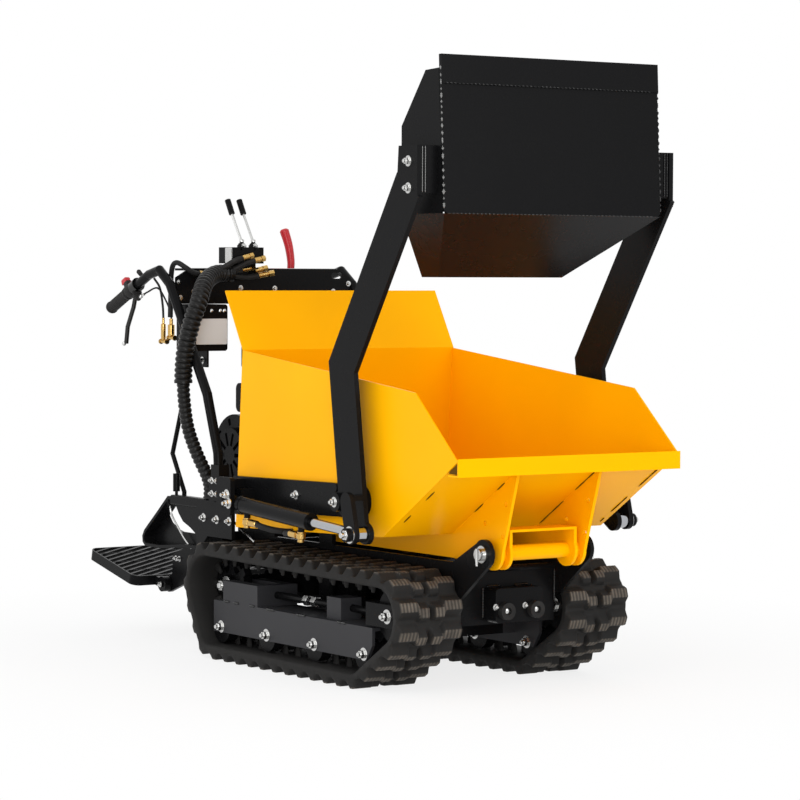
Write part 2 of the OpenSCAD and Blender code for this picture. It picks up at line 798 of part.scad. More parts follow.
module brake_levers() {
    clamp_r = bar_r + 6;
    blade_r = 6;
    color(zinc) both_sides() {
        difference() {
            bar(bar_at(166), bar_at(140), clamp_r);
            bar(bar_at(167), bar_at(139), bar_r + fit);
        }
        low = bar_at(153) - [0, 0, clamp_r - 1];
        bent_bar([low, low + [-14, 0, -38], low + [-46, 0, -90], low + [-54, 0, -134]], blade_r);
    }
}
// Folded plate between the handlebars, with cut corners and an oval hole
console_low = 885;
console_t = 6;
module console() {
    half = bar_y - bar_r - fit;
    cut = 40;
    drop = 24;
    flange = 70;
    hole = [half - cut - 2.2, console_top - 18];
    color(frame_black) {
        cross_slab(console_x, console_x + console_t) difference() {
            polygon([
                [-half, console_low], [half, console_low], [half, console_top - drop], [half - cut,
                    console_top],
                [-half + cut, console_top], [-half, console_top - drop]
            ]);
            link_2d(hole - [9, 0], hole + [9, 0], 8);
        }
        box(console_x - flange, console_x + 1, -half + cut, half - cut, console_top - console_t,
            console_top);
    }
}
// Two-section valve on the console, with its spool caps
valve_front_x = console_x + 50;
valve_left_y = -30;
valve_right_y = -124;
valve_top = console_top + 55;
lever_ys = [-75, -40];
module valve_block() {
    rear = console_x - 20;
    low = console_top + 13;
    cap_r = 10;
    color(frame_black) {
        difference() {
            box(rear, valve_front_x, valve_right_y, valve_left_y, low, valve_top);
            for (y = [-98, -57]) box(rear - 1, valve_front_x + 1, y - 2, y + 2, valve_top - 8,
                valve_top + 1);
        }
        box(rear + 14, valve_front_x - 20, valve_right_y + 12, valve_left_y - 12, console_top, low + 1);
        for (y = lever_ys) {
            bar([rear + 1, y, valve_top - 20], [rear - 16, y, valve_top - 20], cap_r);
            box(console_x + 4, console_x + 24, y - 8, y + 8, valve_top - 1, valve_top + 6);
        }
    }
}
lever_foot = [console_x + 14, valve_top + 6];
lever_top = [console_x - 36, 1120];
module valve_levers() {
    color(zinc) for (y = lever_ys) bent_bar([
        [lever_foot[0], y, lever_foot[1]], [lever_foot[0], y, lever_foot[1] + 8], [lever_top[0], y,
            lever_top[1]]
    ], 3.5);
}
module lever_knobs() {
    knob_r = 8;
    way = (lever_top - lever_foot) / norm(lever_top - lever_foot);
    color(frame_black) for (y = lever_ys) bar(
        [lever_top[0], y, lever_top[1]], [lever_top[0] + 42 * way[0], y, lever_top[1] + 42 * way[1]], knob_r
    );
}
// Hose ends on the valve's face and on the console
module hose_fittings() {
    r = 7;
    hex_r = 9;
    face_x = valve_front_x + hex_r + fit;
    plate_x = console_x + console_t + hex_r + fit;
    rows = [
        [face_x, -98, -72, console_top + 31], [face_x, -62, -33, console_top + 27],
        [plate_x, -98, -66, console_top - 12], [plate_x, -60, -24, console_top - 12], [plate_x, -44,
            -2, console_top - 31]
    ];
    color(brass) for (f = rows) {
        bar([f[0], f[1], f[3]], [f[0], f[2], f[3]], r);
        translate([f[0], f[2] - 12, f[3]]) rotate([-90, 0, 0]) cylinder(r = hex_r, h = 12, $fn = 6);
    }
}
module shift_lever() {
    lever_y = 97;
    color(red) bent_bar([
        [console_x - 20, lever_y, console_top], [console_x - 20, lever_y, console_top + 23],
        [console_x - 24, lever_y - 5, console_top + 63], [console_x - 32, lever_y - 15, console_top + 103]
    ], 8);
}
// Box under the console that carries the blank plate
box_low = 765;
module control_box() {
    depth = 96;
    near = 18 - bar_y;
    far = near + depth;
    color(frame_black) cross_slab(console_x, console_x + depth) rounded_2d(near, far, box_low,
        console_low - fit, 8);
}
function beside_bar(x, out, z) = [x, -bar_y - out, z];
conduit_points = [
    [-420.7, -114, 964], [-420.7, -138, 964], beside_bar(-410, -112, 962), beside_bar(-386, -76, 950),
    beside_bar(-350, -40, 930), beside_bar(-326, -5, 892), beside_bar(-322, 23, 842),
    beside_bar(-328, 40, 775), beside_bar(-336, 44, 710), beside_bar(-336, 42, 645),
    beside_bar(-318, 36, 572), beside_bar(-288, 24, 508), beside_bar(-266, 6, 452),
    beside_bar(-262, -8, 420), beside_bar(-262, -8, deck_z + deck_bar / 2 + fit)
];
conduit_radii = [21, 21, 21, 21, 21, 21, 21, 21, 20, 16, 15, 15, 15, 15, 15];
module conduit() {
    color(rubber_black) sweep(conduit_points, conduit_radii, 12);
}
// A round tube swept through points, with a radius for each
module sweep(path, radii, sides) {
    n = len(path);
    function tangent(i) = let (d = path[min(i + 1, n - 1)] - path[max(i - 1, 0)]) d / norm(d);
    function side(i) = let (c = cross(tangent(i), [1, 0.2, 0.1])) c / norm(c);
    function ring_point(i, k) = let (
        a = k * 360 / sides,
        u = side(i),
        v = cross(tangent(i), u)
    ) path[i] + radii[i] * (cos(a) * u + sin(a) * v);
    points = [for (i = [0:n - 1]) for (k = [0:sides - 1]) ring_point(i, k)];
    walls = [for (i = [0:n - 2]) for (k = [0:sides - 1]) let (k2 = (k + 1) % sides)
        [i * sides + k, (i + 1) * sides + k, (i + 1) * sides + k2, i * sides + k2]];
    first = [for (k = [0:sides - 1]) k];
    last = [for (k = [0:sides - 1]) (n - 1) * sides + sides - 1 - k];
    polyhedron(points, concat(walls, [first, last]), convexity = 6);
}

// Grid of slanting bars in a frame with round corners, and the two eyes of its hinge
module platform() {
    skirt = 27;
    t = 4;
    bars = 22;
    bar_w = 6;
    pitch = platform_len * 1.9 / bars;
    slant = 27;
    reach = 36;
    corner = 24;
    ear_half = 10;
    ear_r = 20;
    ear_mid = bracket_y + bracket_t + 2 + ear_half;
    x0 = -reach - platform_len;
    x1 = -reach;
    w = platform_half_w;
    color(frame_black) translate([platform_hinge_x, 0, platform_hinge_z]) rotate([0, platform_rise, 0]) {
        translate([0, 0, -skirt / 2]) linear_extrude(skirt) difference() {
            rounded_2d(x0, x1, -w, w, corner);
            rounded_2d(x0 + t, x1 - t, -w + t, w - t, corner - t);
        }
        translate([0, 0, -2]) linear_extrude(skirt / 2 + 2) intersection() {
            rounded_2d(x0 + 1, x1 - 1, -w + 1, w - 1, corner - 1);
            for (i = [0:bars - 1]) translate([(x0 + x1) / 2, 0]) rotate(slant)
                translate([(i - (bars - 1) / 2) * pitch - bar_w / 2, -w * 1.5]) square([bar_w, w * 3]);
        }
        for (s = [-1, 1]) difference() {
            union() {
                box(x1 - 1, -2, s * ear_mid - ear_half, s * ear_mid + ear_half, -12, 12);
                pin([0, 0], ear_r, s * ear_mid - ear_half, s * ear_mid + ear_half);
            }
            pin([0, 0], platform_pin_r + fit, s * ear_mid - 2 * ear_half, s * ear_mid + 2 * ear_half);
        }
    }
}

module skip_floor() {
    inner = skip_half_w - skip_t;
    color(paint) slab(-inner, inner) polygon([floor_rear, floor_front, panel_inside[1], panel_inside[0]]);
}
module skip_wall() {
    color(paint) slab(skip_half_w - skip_t, skip_half_w)
        polygon([floor_rear, floor_front, lip, wall_front, wall_rear]);
}
module skip_side_left() {
    skip_wall();
}
module skip_side_right() {
    mirror([0, 1, 0]) skip_wall();
}
// Sloping front panel whose upper edge is folded down and back to a stiff lip
module skip_front() {
    inner = skip_half_w - skip_t;
    sheet = [for (i = [1:4]) panel_path[i]];
    inside = [for (i = [1:4]) panel_inside[i]];
    color(paint) difference() {
        slab(-skip_half_w, skip_half_w) polygon(concat(sheet, reversed(inside)));
        both_sides() slab(inner, skip_half_w + 1)
            polygon([floor_front - [20, 20], lip, lip + [0, 30], floor_front + [-20, 30]]);
    }
}
// Rear wall with the flap that leans back over the engine
module skip_rear() {
    inner = skip_half_w - skip_t;
    base = floor_rear + [0, skip_t + 2 * fit];
    color(paint) difference() {
        slab(-skip_half_w, skip_half_w) sheet_2d([base, wall_rear, flap], -skip_t);
        both_sides() box(skip_rear_x - 40, wall_rear_x + 60, inner, skip_half_w + 1, 0, wall_rear_z);
    }
}
// Ribs under the floor that carry the hinge, a channel whose legs end in eyes, and the hinge tube
module skip_ribs() {
    ear_r = 38;
    channel_rear = 30;
    channel_front = 34;
    channel_h = 56;
    channel_t = 6;
    bottom = hinge_z - 21;
    rear_x = 72;
    tube_r = 18;
    boss_r = 22;
    hole_r = 6;
    holes = [[53, 117], [-28, 68], [41, 42]];
    eye_y = 34;
    eye_t = 10;
    eye_half = 24;
    seat = floor_z_at(tip_eye_x);
    front_high = lip - 44 * unit(front_slope);
    color(paint) {
        both_sides() {
            slab(rib_y, rib_y + rib_t) difference() {
                union() {
                    polygon([
                        [rear_x, floor_z_at(rear_x)], [rear_x + 20, bottom], [hinge_x - 40, bottom],
                        hinge + (ear_r - 1) * unit(-120), hinge + (ear_r - 1) * unit(-30),
                        front_high, floor_front
                    ]);
                    translate(hinge) circle(ear_r);
                }
                translate(hinge) circle(hinge_pin_r + fit);
                for (h = holes) translate(hinge + h) circle(hole_r);
            }
            slab(inner_ear_y, inner_ear_y + rib_t) difference() {
                union() {
                    polygon([
                        hinge + [-channel_rear, 0], hinge + [channel_front, 0],
                        hinge + [channel_front, channel_h], hinge + [-channel_rear, channel_h]
                    ]);
                    translate(hinge) circle(ear_r);
                }
                translate(hinge) circle(hinge_pin_r + fit);
            }
            slab(inner_ear_y + rib_t - 1, rib_y + 1) translate(hinge) difference() {
                circle(boss_r);
                circle(hinge_pin_r + fit);
            }
        }
        box(hinge_x - channel_rear, hinge_x + channel_front, -inner_ear_y - 1, inner_ear_y + 1,
            hinge_z + channel_h - channel_t, hinge_z + channel_h);
        pin(hinge, tube_r, -inner_ear_y - 0.2, inner_ear_y + 0.2);
        for (s = [-1, 1]) slab(s * eye_y - eye_t / 2, s * eye_y + eye_t / 2) difference() {
            union() {
                translate(tip_eye - [eye_half - sag, 0]) square([2 * (eye_half - sag),
                    seat - 1 - tip_eye_z]);
                translate(tip_eye) circle(eye_half);
            }
            translate(tip_eye) circle(tip_pin_r);
        }
        box(tip_eye_x - eye_half, tip_eye_x + eye_half, -rib_y - 1, rib_y + 1, seat - 8, seat - 1);
    }
}
// Plate on the skip's side with the arm's pivot, the arm's stop and the clevis of the lift cylinder
stop_r = 10;
stop_gap = 5;
module loader_mount() {
    face = skip_half_w + mount_t;
    pivot_r = 15;
    collar_r = 24;
    rear = lift_base_x - 84;
    front = pivot_x + 54;
    plate_low = pivot_z - 38;
    plate_high = pivot_z + 40;
    stop = [arm_foot[0] - arm_w / 2 - stop_gap - stop_r - 1, pivot_z + 32];
    clevis_rear = lift_base_x - 40;
    clevis_front = lift_base_x + 28;
    clevis_low = lift_base_z - 30;
    clevis_high = lift_base_z + 62;
    web = 10;
    color(frame_black) {
        slab(skip_half_w, face) {
            polygon([
                [rear, clevis_low + 8], [front - 30, plate_low], [front - 30, plate_high], [rear,
                    clevis_high - 4]
            ]);
            link_2d([front - 30, pivot_z + 1], [front - 40, pivot_z + 1], 39.2);
        }
        pin(pivot, pivot_r, face - 1, arm_outer_y + 12);
        pin(pivot, collar_r, face - 1, arm_y - fit);
        pin(pivot, collar_r - 2, arm_outer_y + fit, arm_outer_y + 12);
        pin(stop, stop_r, face - 1, arm_outer_y);
        slab(cheek_y, cheek_y + cheek_t) rounded_2d(clevis_rear, clevis_front, clevis_low, clevis_high, 8);
        box(clevis_rear, clevis_rear + web, face - 1, cheek_y + 1, clevis_low + 8, clevis_high - 8);
        box(clevis_rear + web - 1, lift_base_x + 18, face - 1, lift_y - 13, clevis_low, lift_base_z + 32);
        pin(lift_base, lift_pin_r, lift_y - 14, cheek_y + cheek_t + 10);
    }
}
module loader_mounts() {
    both_sides() loader_mount();
}

// Bent arm of plate with its head, the cheek for the rod eye and the nut of the eye's bolt
module arm() {
    lobe_r = 24;
    eye_r = 22;
    bore_r = 15 + fit;
    cheek_head = eye + [-20, 74];
    web_half = 20;
    web_t = 12;
    nut_r = 16;
    color(frame_black) {
        slab(arm_y, arm_outer_y) difference() {
            union() {
                strip_2d([arm_foot - [-13, 95], arm_foot, arm_bend, arm_head], arm_w);
                link_2d(pivot, eye, lobe_r);
                polygon([
                    [head_rear_x, head_top_z], [head_rear_x - 8, head_low_z], [head_front_x,
                        head_low_z - 20],
                    [head_front_x, head_top_z]
                ]);
            }
            translate(pivot) circle(bore_r);
            polygon([pivot + [-90, -90], pivot + [-90, -8], pivot + [-lobe_r + 2, -8], eye + [-16,
                -lobe_r + 3], eye + [-16, -90]]);
            polygon([eye + [-40, -lobe_r], eye + [60, -lobe_r], eye + [60, -90], eye + [-40, -90]]);
        }
        slab(cheek_y, cheek_y + cheek_t) link_2d(eye, cheek_head, eye_r);
        box(cheek_head[0] - web_half, cheek_head[0] + web_half, arm_outer_y - 1, cheek_y + 1,
            cheek_head[1] + 3, cheek_head[1] + 3 + web_t);
        pin(eye, nut_r, cheek_y + cheek_t - 1, cheek_y + cheek_t + 15);
    }
}
module arm_left() {
    arm();
}
module arm_right() {
    mirror([0, 1, 0]) arm();
}
// Slope of the shovel's sides below the fold, where they lean in
facet_dir = [-back_taper, -back_drop] / norm([back_taper, back_drop]);
facet_inset = shovel_t / -facet_dir[1];
edge = [edge_x, edge_z];
fold = [fold_x, fold_z];
floor_way = (fold - edge) / norm(fold - edge);
// Floor, back plate and top plate, folded from one sheet, with the cutting strip on the floor's edge
module shovel_shell() {
    t = shovel_t;
    low = fold_z + t;
    narrow = back_half_w - facet_inset - fit;
    wide = shovel_half_w - facet_inset - fit;
    strip_t = 4;
    color(frame_black) {
        intersection() {
            slab(-shovel_half_w, shovel_half_w)
                sheet_2d([edge, fold, [back_x, back_z], [rim_x, back_z]], -t);
            cross_slab(rim_x - 10, fold_x + 10) polygon([
                [-shovel_half_w, edge_z + 1], [-shovel_half_w, low], [-wide, fold_z], [-narrow, back_z],
                [narrow, back_z], [wide, fold_z], [shovel_half_w, low], [shovel_half_w, edge_z + 1]
            ]);
        }
        slab(-shovel_half_w, shovel_half_w) sheet_2d([edge, edge + strip_w * floor_way], strip_t);
    }
}
// Side plate with its lower half folded inwards, and the bracket that is bolted to the arm's head
module cheek() {
    t = shovel_t;
    w = shovel_half_w;
    n = [facet_dir[1], -facet_dir[0]] * t;
    top = [w, fold_z];
    low = [back_half_w, back_z];
    bracket_t = 10;
    inside = beside([edge, fold], -t - fit);
    color(frame_black) {
        slab(w - t, w) polygon([
            inside[0] - [0, 30], [edge_x - 58, edge_z - 33], [cheek_x, edge_z - 155], [cheek_x, fold_z],
            [fold_x - 2.6 * t, fold_z], inside[1] + [0, t + fit]
        ]);
        intersection() {
            cross_slab(rim_x, fold_x) polygon([top, low, low + n, top + n]);
            slab(0, w) polygon([fold, [back_x, back_z], [rim_x, back_z], [cheek_x, fold_z]]);
        }
        box(head_front_x - bracket_t - 4, head_front_x - 4, w - 1, arm_y - fit, head_low_z, head_top_z);
        box(head_rear_x + 4, head_front_x - 4, arm_y - fit - bracket_t, arm_y - fit, head_low_z,
            head_top_z);
    }
}
module shovel_cheek_left() {
    cheek();
}
module shovel_cheek_right() {
    mirror([0, 1, 0]) cheek();
}

// Lift cylinder, drawn along its own axis from the rear pin
lift_axis = eye - lift_base;
lift_len = norm(lift_axis);
module along_lift() {
    translate([lift_base_x, lift_y, lift_base_z]) rotate([0, 90 - heading(lift_axis), 0]) children();
}
module lift_barrel() {
    bore_r = lift_rod_r + fit;
    gland = 28;
    start = 40;
    eye_half = 12;
    eye_r = 18;
    port_r = 8;
    color(frame_black) difference() {
        along_lift() difference() {
            union() {
                translate([0, 0, start]) cylinder(r = lift_r - 1, h = lift_barrel_len - start - gland);
                translate([0, 0, lift_barrel_len - gland - 1]) cylinder(r = lift_r, h = gland + 1);
                translate([0, 0, start]) cylinder(r = lift_r, h = 12);
                rotate([90, 0, 0]) translate([0, 0, -eye_half]) cylinder(r = eye_r, h = 2 * eye_half);
                translate([-10, -eye_half, 0]) cube([20, 2 * eye_half, start + 2]);
                for (z = [start + 28, lift_barrel_len - gland - 14]) translate([0, 0, z]) rotate([0, 90, 0])
                    cylinder(r = port_r, h = lift_r + 9);
            }
            translate([0, 0, start + 3]) cylinder(r = bore_r, h = lift_barrel_len);
        }
        pin(lift_base, lift_pin_r + fit, lift_y - 40, lift_y + 40);
    }
}
module lift_rod() {
    hidden = 130;
    eye_r = 18;
    color(zinc) {
        along_lift() translate([0, 0, lift_barrel_len - hidden])
            cylinder(r = lift_rod_r, h = lift_len - lift_barrel_len + hidden - 12);
        pin(eye, eye_r, lift_y - eye_gap / 2 + 1, lift_y + eye_gap / 2 - 1);
    }
}
module lift_barrel_left() {
    lift_barrel();
}
module lift_barrel_right() {
    mirror([0, 1, 0]) lift_barrel();
}
module lift_rod_left() {
    lift_rod();
}
module lift_rod_right() {
    mirror([0, 1, 0]) lift_rod();
}
tip_axis = tip_eye - tip_base;
tip_len = norm(tip_axis);
tip_barrel_len = tip_len - 40;
module along_tip() {
    translate([tip_base_x, 0, tip_base_z]) rotate([0, 90 - heading(tip_axis), 0]) children();
}
module tip_barrel() {
    eye_r = 24;
    color(frame_black) {
        along_tip() difference() {
            union() {
                translate([0, 0, 10]) cylinder(r = tip_r - 1.5, h = tip_barrel_len - 10);
                translate([0, 0, tip_barrel_len - 34]) cylinder(r = tip_r, h = 34);
            }
            translate([0, 0, 50]) cylinder(r = tip_rod_r + fit, h = tip_barrel_len);
        }
        pin(tip_base, eye_r, -30, 30);
        pin(tip_base, tip_pin_r, -52, 52);
    }
}
module tip_rod() {
    eye_r = 22;
    color(zinc) {
        along_tip() translate([0, 0, 100]) cylinder(r = tip_rod_r, h = tip_len - 100 - 14);
        pin(tip_eye, eye_r, -27, 27);
    }
}

frame_rails();
cross_members();
front_box();
front_buffers();
hinge_pins();
track_left();
track_right();
track_frames();
rollers();
sprockets();
idlers();
gearbox();
deck();
rear_guards();
engine_block();
fuel_tank();
recoil_cover();
muffler();
air_cleaner();
handlebars();
grips();
brake_levers();
console();
valve_block();
valve_levers();
lever_knobs();
hose_fittings();
shift_lever();
control_box();
conduit();
platform();
skip_floor();
skip_side_left();
skip_side_right();
skip_rear();
skip_front();
skip_ribs();
loader_mounts();
arm_left();
arm_right();
shovel_shell();
shovel_cheek_left();
shovel_cheek_right();
lift_barrel_left();
lift_barrel_right();
lift_rod_left();
lift_rod_right();
tip_barrel();
tip_rod();
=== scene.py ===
"""Looks for a tracked site dumper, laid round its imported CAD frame."""

import json
import math

import bmesh
import bpy
import numpy as np
from bpy.props import FloatProperty, FloatVectorProperty, IntProperty, PointerProperty
from mathutils import Matrix, Vector


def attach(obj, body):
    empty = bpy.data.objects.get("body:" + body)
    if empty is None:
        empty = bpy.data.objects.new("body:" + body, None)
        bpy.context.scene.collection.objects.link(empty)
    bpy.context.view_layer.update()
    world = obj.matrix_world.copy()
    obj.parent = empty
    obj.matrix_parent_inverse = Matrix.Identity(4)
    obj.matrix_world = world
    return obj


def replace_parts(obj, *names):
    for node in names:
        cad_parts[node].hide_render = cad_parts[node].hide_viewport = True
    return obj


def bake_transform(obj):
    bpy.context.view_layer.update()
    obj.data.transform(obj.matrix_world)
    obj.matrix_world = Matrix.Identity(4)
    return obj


bl_info = {
    "name": "Tracked Site Dumper",
    "version": (1, 0, 0),
    "blender": (4, 5, 0),
    "location": "View3D > Sidebar > Dumper",
    "description": "Finishes and fittings for a tracked site dumper with a self-loading shovel",
    "category": "Object",
}

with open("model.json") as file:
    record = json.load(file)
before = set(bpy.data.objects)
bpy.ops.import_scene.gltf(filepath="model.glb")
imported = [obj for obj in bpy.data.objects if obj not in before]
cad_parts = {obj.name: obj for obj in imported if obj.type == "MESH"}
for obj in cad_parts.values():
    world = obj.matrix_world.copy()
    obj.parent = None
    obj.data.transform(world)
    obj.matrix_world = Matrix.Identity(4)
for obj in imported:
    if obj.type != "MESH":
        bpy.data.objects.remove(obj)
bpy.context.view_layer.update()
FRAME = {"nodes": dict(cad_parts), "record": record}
NODES = FRAME["nodes"]

# The photograph's camera in the part's frame: focal length in pixels of an 800 pixel frame,
# heading, downward pitch and roll in degrees, and the lens's place in metres.
PHOTO_SIDE = 800
FOCAL_PX = 3033.5
HEADING = 33.945
PITCH = 2.437
ROLL = 0.232
LENS_AT = (6.3714, -4.156, 0.9724)

MM = 0.001
X = np.array([1.0, 0.0, 0.0])
Y = np.array([0.0, 1.0, 0.0])
Z = np.array([0.0, 0.0, 1.0])
SIDES = (-1, 1)


def mm(*place):
    return np.array(place, float) * MM


# ---- Property groups


def tint(name, about, value):
    return FloatVectorProperty(
        name=name, description=about, default=value, subtype="COLOR", size=3, min=0, max=1
    )


def size(name, about, value):
    return FloatProperty(name=name, description=about, default=value, min=0, unit="LENGTH", precision=4)


class DumperColours(bpy.types.PropertyGroup):
    # the skip's yellow, darkened to a tenth, also gives the painted shade in its crevices and the lip's
    # hollow
    paint: tint("Skip paint", "Yellow of the skip", (1.0, 0.45, 0.0))
    black: tint("Black paint", "Satin black of frame, arms and shovel", (0.0058, 0.0058, 0.0062))
    beam: tint("Beam paint", "Dark grey of the roller beams", (0.034, 0.034, 0.037))
    rubber: tint("Rubber", "Tracks, grips and hoses", (0.0155, 0.015, 0.0146))
    dust: tint("Tread dust", "Dry dust on the lug tips", (0.132, 0.114, 0.094))
    # zinc also gives painted highlights: the near welds' bright metal and the strip along the console's top
    # edge
    zinc: tint("Zinc", "Bolts and pins", (0.6, 0.6, 0.59))
    chrome: tint("Chrome", "Piston rods", (0.43, 0.44, 0.46))
    brass: tint("Brass", "Hydraulic fittings", (0.62, 0.4, 0.13))
    red: tint("Red", "Switch and shift lever", (0.5, 0.012, 0.02))
    plate: tint("Blank plate", "White of the blank sign plate", (0.72, 0.73, 0.74))


class DumperTracks(bpy.types.PropertyGroup):
    shoes: IntProperty(name="Lugs", description="Lugs round one track", default=38, min=20)
    width: size("Width", "Width of a track", 0.180)
    gauge: size("Half gauge", "Middle of a track from the machine's middle", 0.241)
    belt: size("Belt", "Thickness of the belt", 0.016)
    lug: size("Lug height", "Height of a lug over the belt", 0.019)
    tip: size("Lug tip", "Length of a lug's flat tip along the belt", 0.016)
    slope: size("Lug slope", "Length of the slope before and behind a tip", 0.0175)
    step: size("Lug step", "Shift of a lug's inner half along the belt", 0.012)
    rib: size("Tip rib", "Pitch of the ribs across a lug's tip", 0.0095)


class DumperFittings(bpy.types.PropertyGroup):
    bolt: size("Bolt", "Width across flats of the common bolts", 0.011)
    axle: size("Axle bolt", "Width across flats of the roller axle bolts", 0.018)
    hose: size("Hose", "Radius of the hydraulic hoses", 0.0075)
    ring: size("Conduit ring", "Pitch of the conduit's wide rings", 0.0138)
    bead: size("Weld bead", "Radius of the weld beads", 0.0032)


class DumperStage(bpy.types.PropertyGroup):
    floor: tint("Floor", "Pale floor", (0.86, 0.86, 0.86))
    key_power: FloatProperty(
        name="Key light", description="Power of the key light", default=60, unit="POWER"
    )
    room: FloatProperty(name="Room light", description="Strength of the even light round it", default=0.84)


# ---- Surfaces


def unit(vector):
    vector = np.asarray(vector, float)
    return vector / np.linalg.norm(vector)


def square_to(axis):
    """Two unit vectors square to an axis and to each other."""
    axis = unit(axis)
    aside = unit(np.cross(axis, Z if abs(axis[2]) < 0.9 else X))
    return aside, np.cross(axis, aside)


def lathe(profile, at, axis, sides=24):
    """Turned surface p(i, a) = at + z_i w + r_i (cos a u + sin a v) of (r, z) pairs round an axis w."""
    r, z = np.array(profile, float).T
    u, v = square_to(axis)
    a = 2 * np.pi * np.arange(sides) / sides
    ring = np.cos(a)[:, None] * u + np.sin(a)[:, None] * v
    return np.asarray(at) + z[:, None, None] * unit(axis) + r[:, None, None] * ring


def run_of(path):
    """Length along a path at each of its points."""
    return np.concatenate([[0], np.cumsum(np.linalg.norm(np.diff(path, axis=0), axis=1))])


def curve(points, step=0.004):
    """Catmull-Rom curve through points, resampled at even steps of its length."""
    p = np.asarray(points, float)
    p = np.vstack([2 * p[0] - p[1], p, 2 * p[-1] - p[-2]])
    t = np.linspace(0, 1, 24, endpoint=False)[:, None]
    a, b, c, d = (p[i : len(p) - 3 + i, None] for i in range(4))
    line = 0.5 * (2 * b + (c - a) * t + (2 * a - 5 * b + 4 * c - d) * t**2 + (3 * b - a - 3 * c + d) * t**3)
    line = np.vstack([line.reshape(-1, 3), p[-2]])
    s = run_of(line)
    even = np.linspace(0, s[-1], max(3, int(s[-1] / step)))
    return np.stack([np.interp(even, s, line[:, k]) for k in range(3)], -1)


def tube(path, radius, sides=14):
    """Tube p(s, a) = c(s) + r(s) (cos a u(s) + sin a v(s)), with u and v carried along untwisted."""
    path = np.asarray(path, float)
    t = np.gradient(path, axis=0)
    t /= np.linalg.norm(t, axis=1)[:, None]
    u = np.empty_like(path)
    u[0] = square_to(t[0])[0]
    for i in range(1, len(path)):
        u[i] = unit(u[i - 1] - (u[i - 1] @ t[i]) * t[i])
    v = np.cross(t, u)
    a = 2 * np.pi * np.arange(sides) / sides
    r = np.broadcast_to(radius, len(path))[:, None, None]
    return path[:, None] + r * (np.cos(a)[:, None] * u[:, None] + np.sin(a)[:, None] * v[:, None])


def slab(at, right, up, width, height, thick, corner):
    """Plate whose outline is |x / a|^n + |y / b|^n = 1, lofted through a soft edge to its thickness."""
    right, up, sides = unit(right), unit(up), 48
    a = 2 * np.pi * np.arange(sides) / sides + np.pi / sides
    x = np.sign(np.cos(a)) * np.abs(np.cos(a)) ** (2 / corner) * width / 2
    y = np.sign(np.sin(a)) * np.abs(np.sin(a)) ** (2 / corner) * height / 2
    outline = x[:, None] * right + y[:, None] * up
    soft = 1 - 0.25 * thick / max(width, height)
    levels = np.array([[1.0, 0.0], [1.0, 0.75], [soft, 1.0]])
    flat, deep = levels[:, 0, None, None] * outline, levels[:, 1, None, None] * thick
    return np.asarray(at) + flat + deep * np.cross(right, up)


class Skin:
    """One mesh gathered from grids of points, each a surface of two parameters."""

    def __init__(self):
        self.points, self.faces, self.count = [], [], 0
        self.marks = {}

    def grid(self, p, round_u=False, round_v=True, ends=True):
        n, m = p.shape[:2]
        k = self.count + np.arange(n * m).reshape(n, m)
        a = np.vstack([k, k[:1]]) if round_u else k
        a = np.hstack([a, a[:, :1]]) if round_v else a
        quads = np.stack([a[:-1, :-1], a[1:, :-1], a[1:, 1:], a[:-1, 1:]], -1)
        self.faces += quads.reshape(-1, 4).tolist()
        if ends:
            self.faces += [k[0].tolist(), k[-1, ::-1].tolist()]
        self.points.append(p.reshape(-1, 3))
        self.count += n * m

    def make(self, name, finish, slot, body="chassis", angle=34):
        mesh = bpy.data.meshes.new(name)
        mesh.from_pydata(np.vstack(self.points).tolist(), [], self.faces)
        made = bmesh.new()
        made.from_mesh(mesh)
        bmesh.ops.recalc_face_normals(made, faces=made.faces)
        made.to_mesh(mesh)
        made.free()
        for key, values in self.marks.items():
            mesh.attributes.new(key, "FLOAT", "POINT").data.foreach_set("value", values)
        mesh.polygons.foreach_set("use_smooth", np.ones(len(mesh.polygons), bool))
        mesh.set_sharp_from_angle(angle=math.radians(angle))
        obj = bpy.data.objects.new(name, mesh)
        bpy.context.scene.collection.objects.link(obj)
        dress(obj, finish)
        if body:
            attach(obj, body)
        return obj


def bolt(skin, at, axis, flats, stud=0.35):
    """Washer, chamfered hexagon head and the end of its stud, each turned round the axis."""
    at, f, r = np.asarray(at, float), flats, flats / math.sqrt(3)
    disc = [(0.3 * f, -0.02 * f), (0.86 * f, -0.02 * f), (0.86 * f, 0.11 * f), (0.5 * f, 0.13 * f)]
    skin.grid(lathe(disc, at, axis, 22))
    z = 0.12 * f
    head = [(0.97 * r, z), (r, z + 0.05 * f), (r, z + 0.5 * f), (0.88 * r, z + 0.6 * f)]
    skin.grid(lathe(head, at, axis, 6))
    if stud:
        top = z + (0.6 + stud) * f
        skin.grid(lathe([(0.3 * f, z + 0.5 * f), (0.3 * f, top - 0.06 * f), (0.24 * f, top)], at, axis, 14))


def bead(skin, start, end, radius, pitch=0.006):
    """Weld bead: a tube along a line whose radius ripples as r (0.6 + 0.4 |sin|) over its pitch."""
    start, end = np.asarray(start, float), np.asarray(end, float)
    length = np.linalg.norm(end - start)
    s = np.linspace(0, 1, max(6, int(length / pitch * 6)))
    ripple = 0.6 + 0.4 * np.abs(np.sin(np.pi * s * length / pitch))
    taper = np.clip(np.minimum(s, 1 - s) * length / radius, 0.25, 1)
    skin.grid(tube(start + s[:, None] * (end - start), radius * ripple * taper, 8))


# ---- Materials


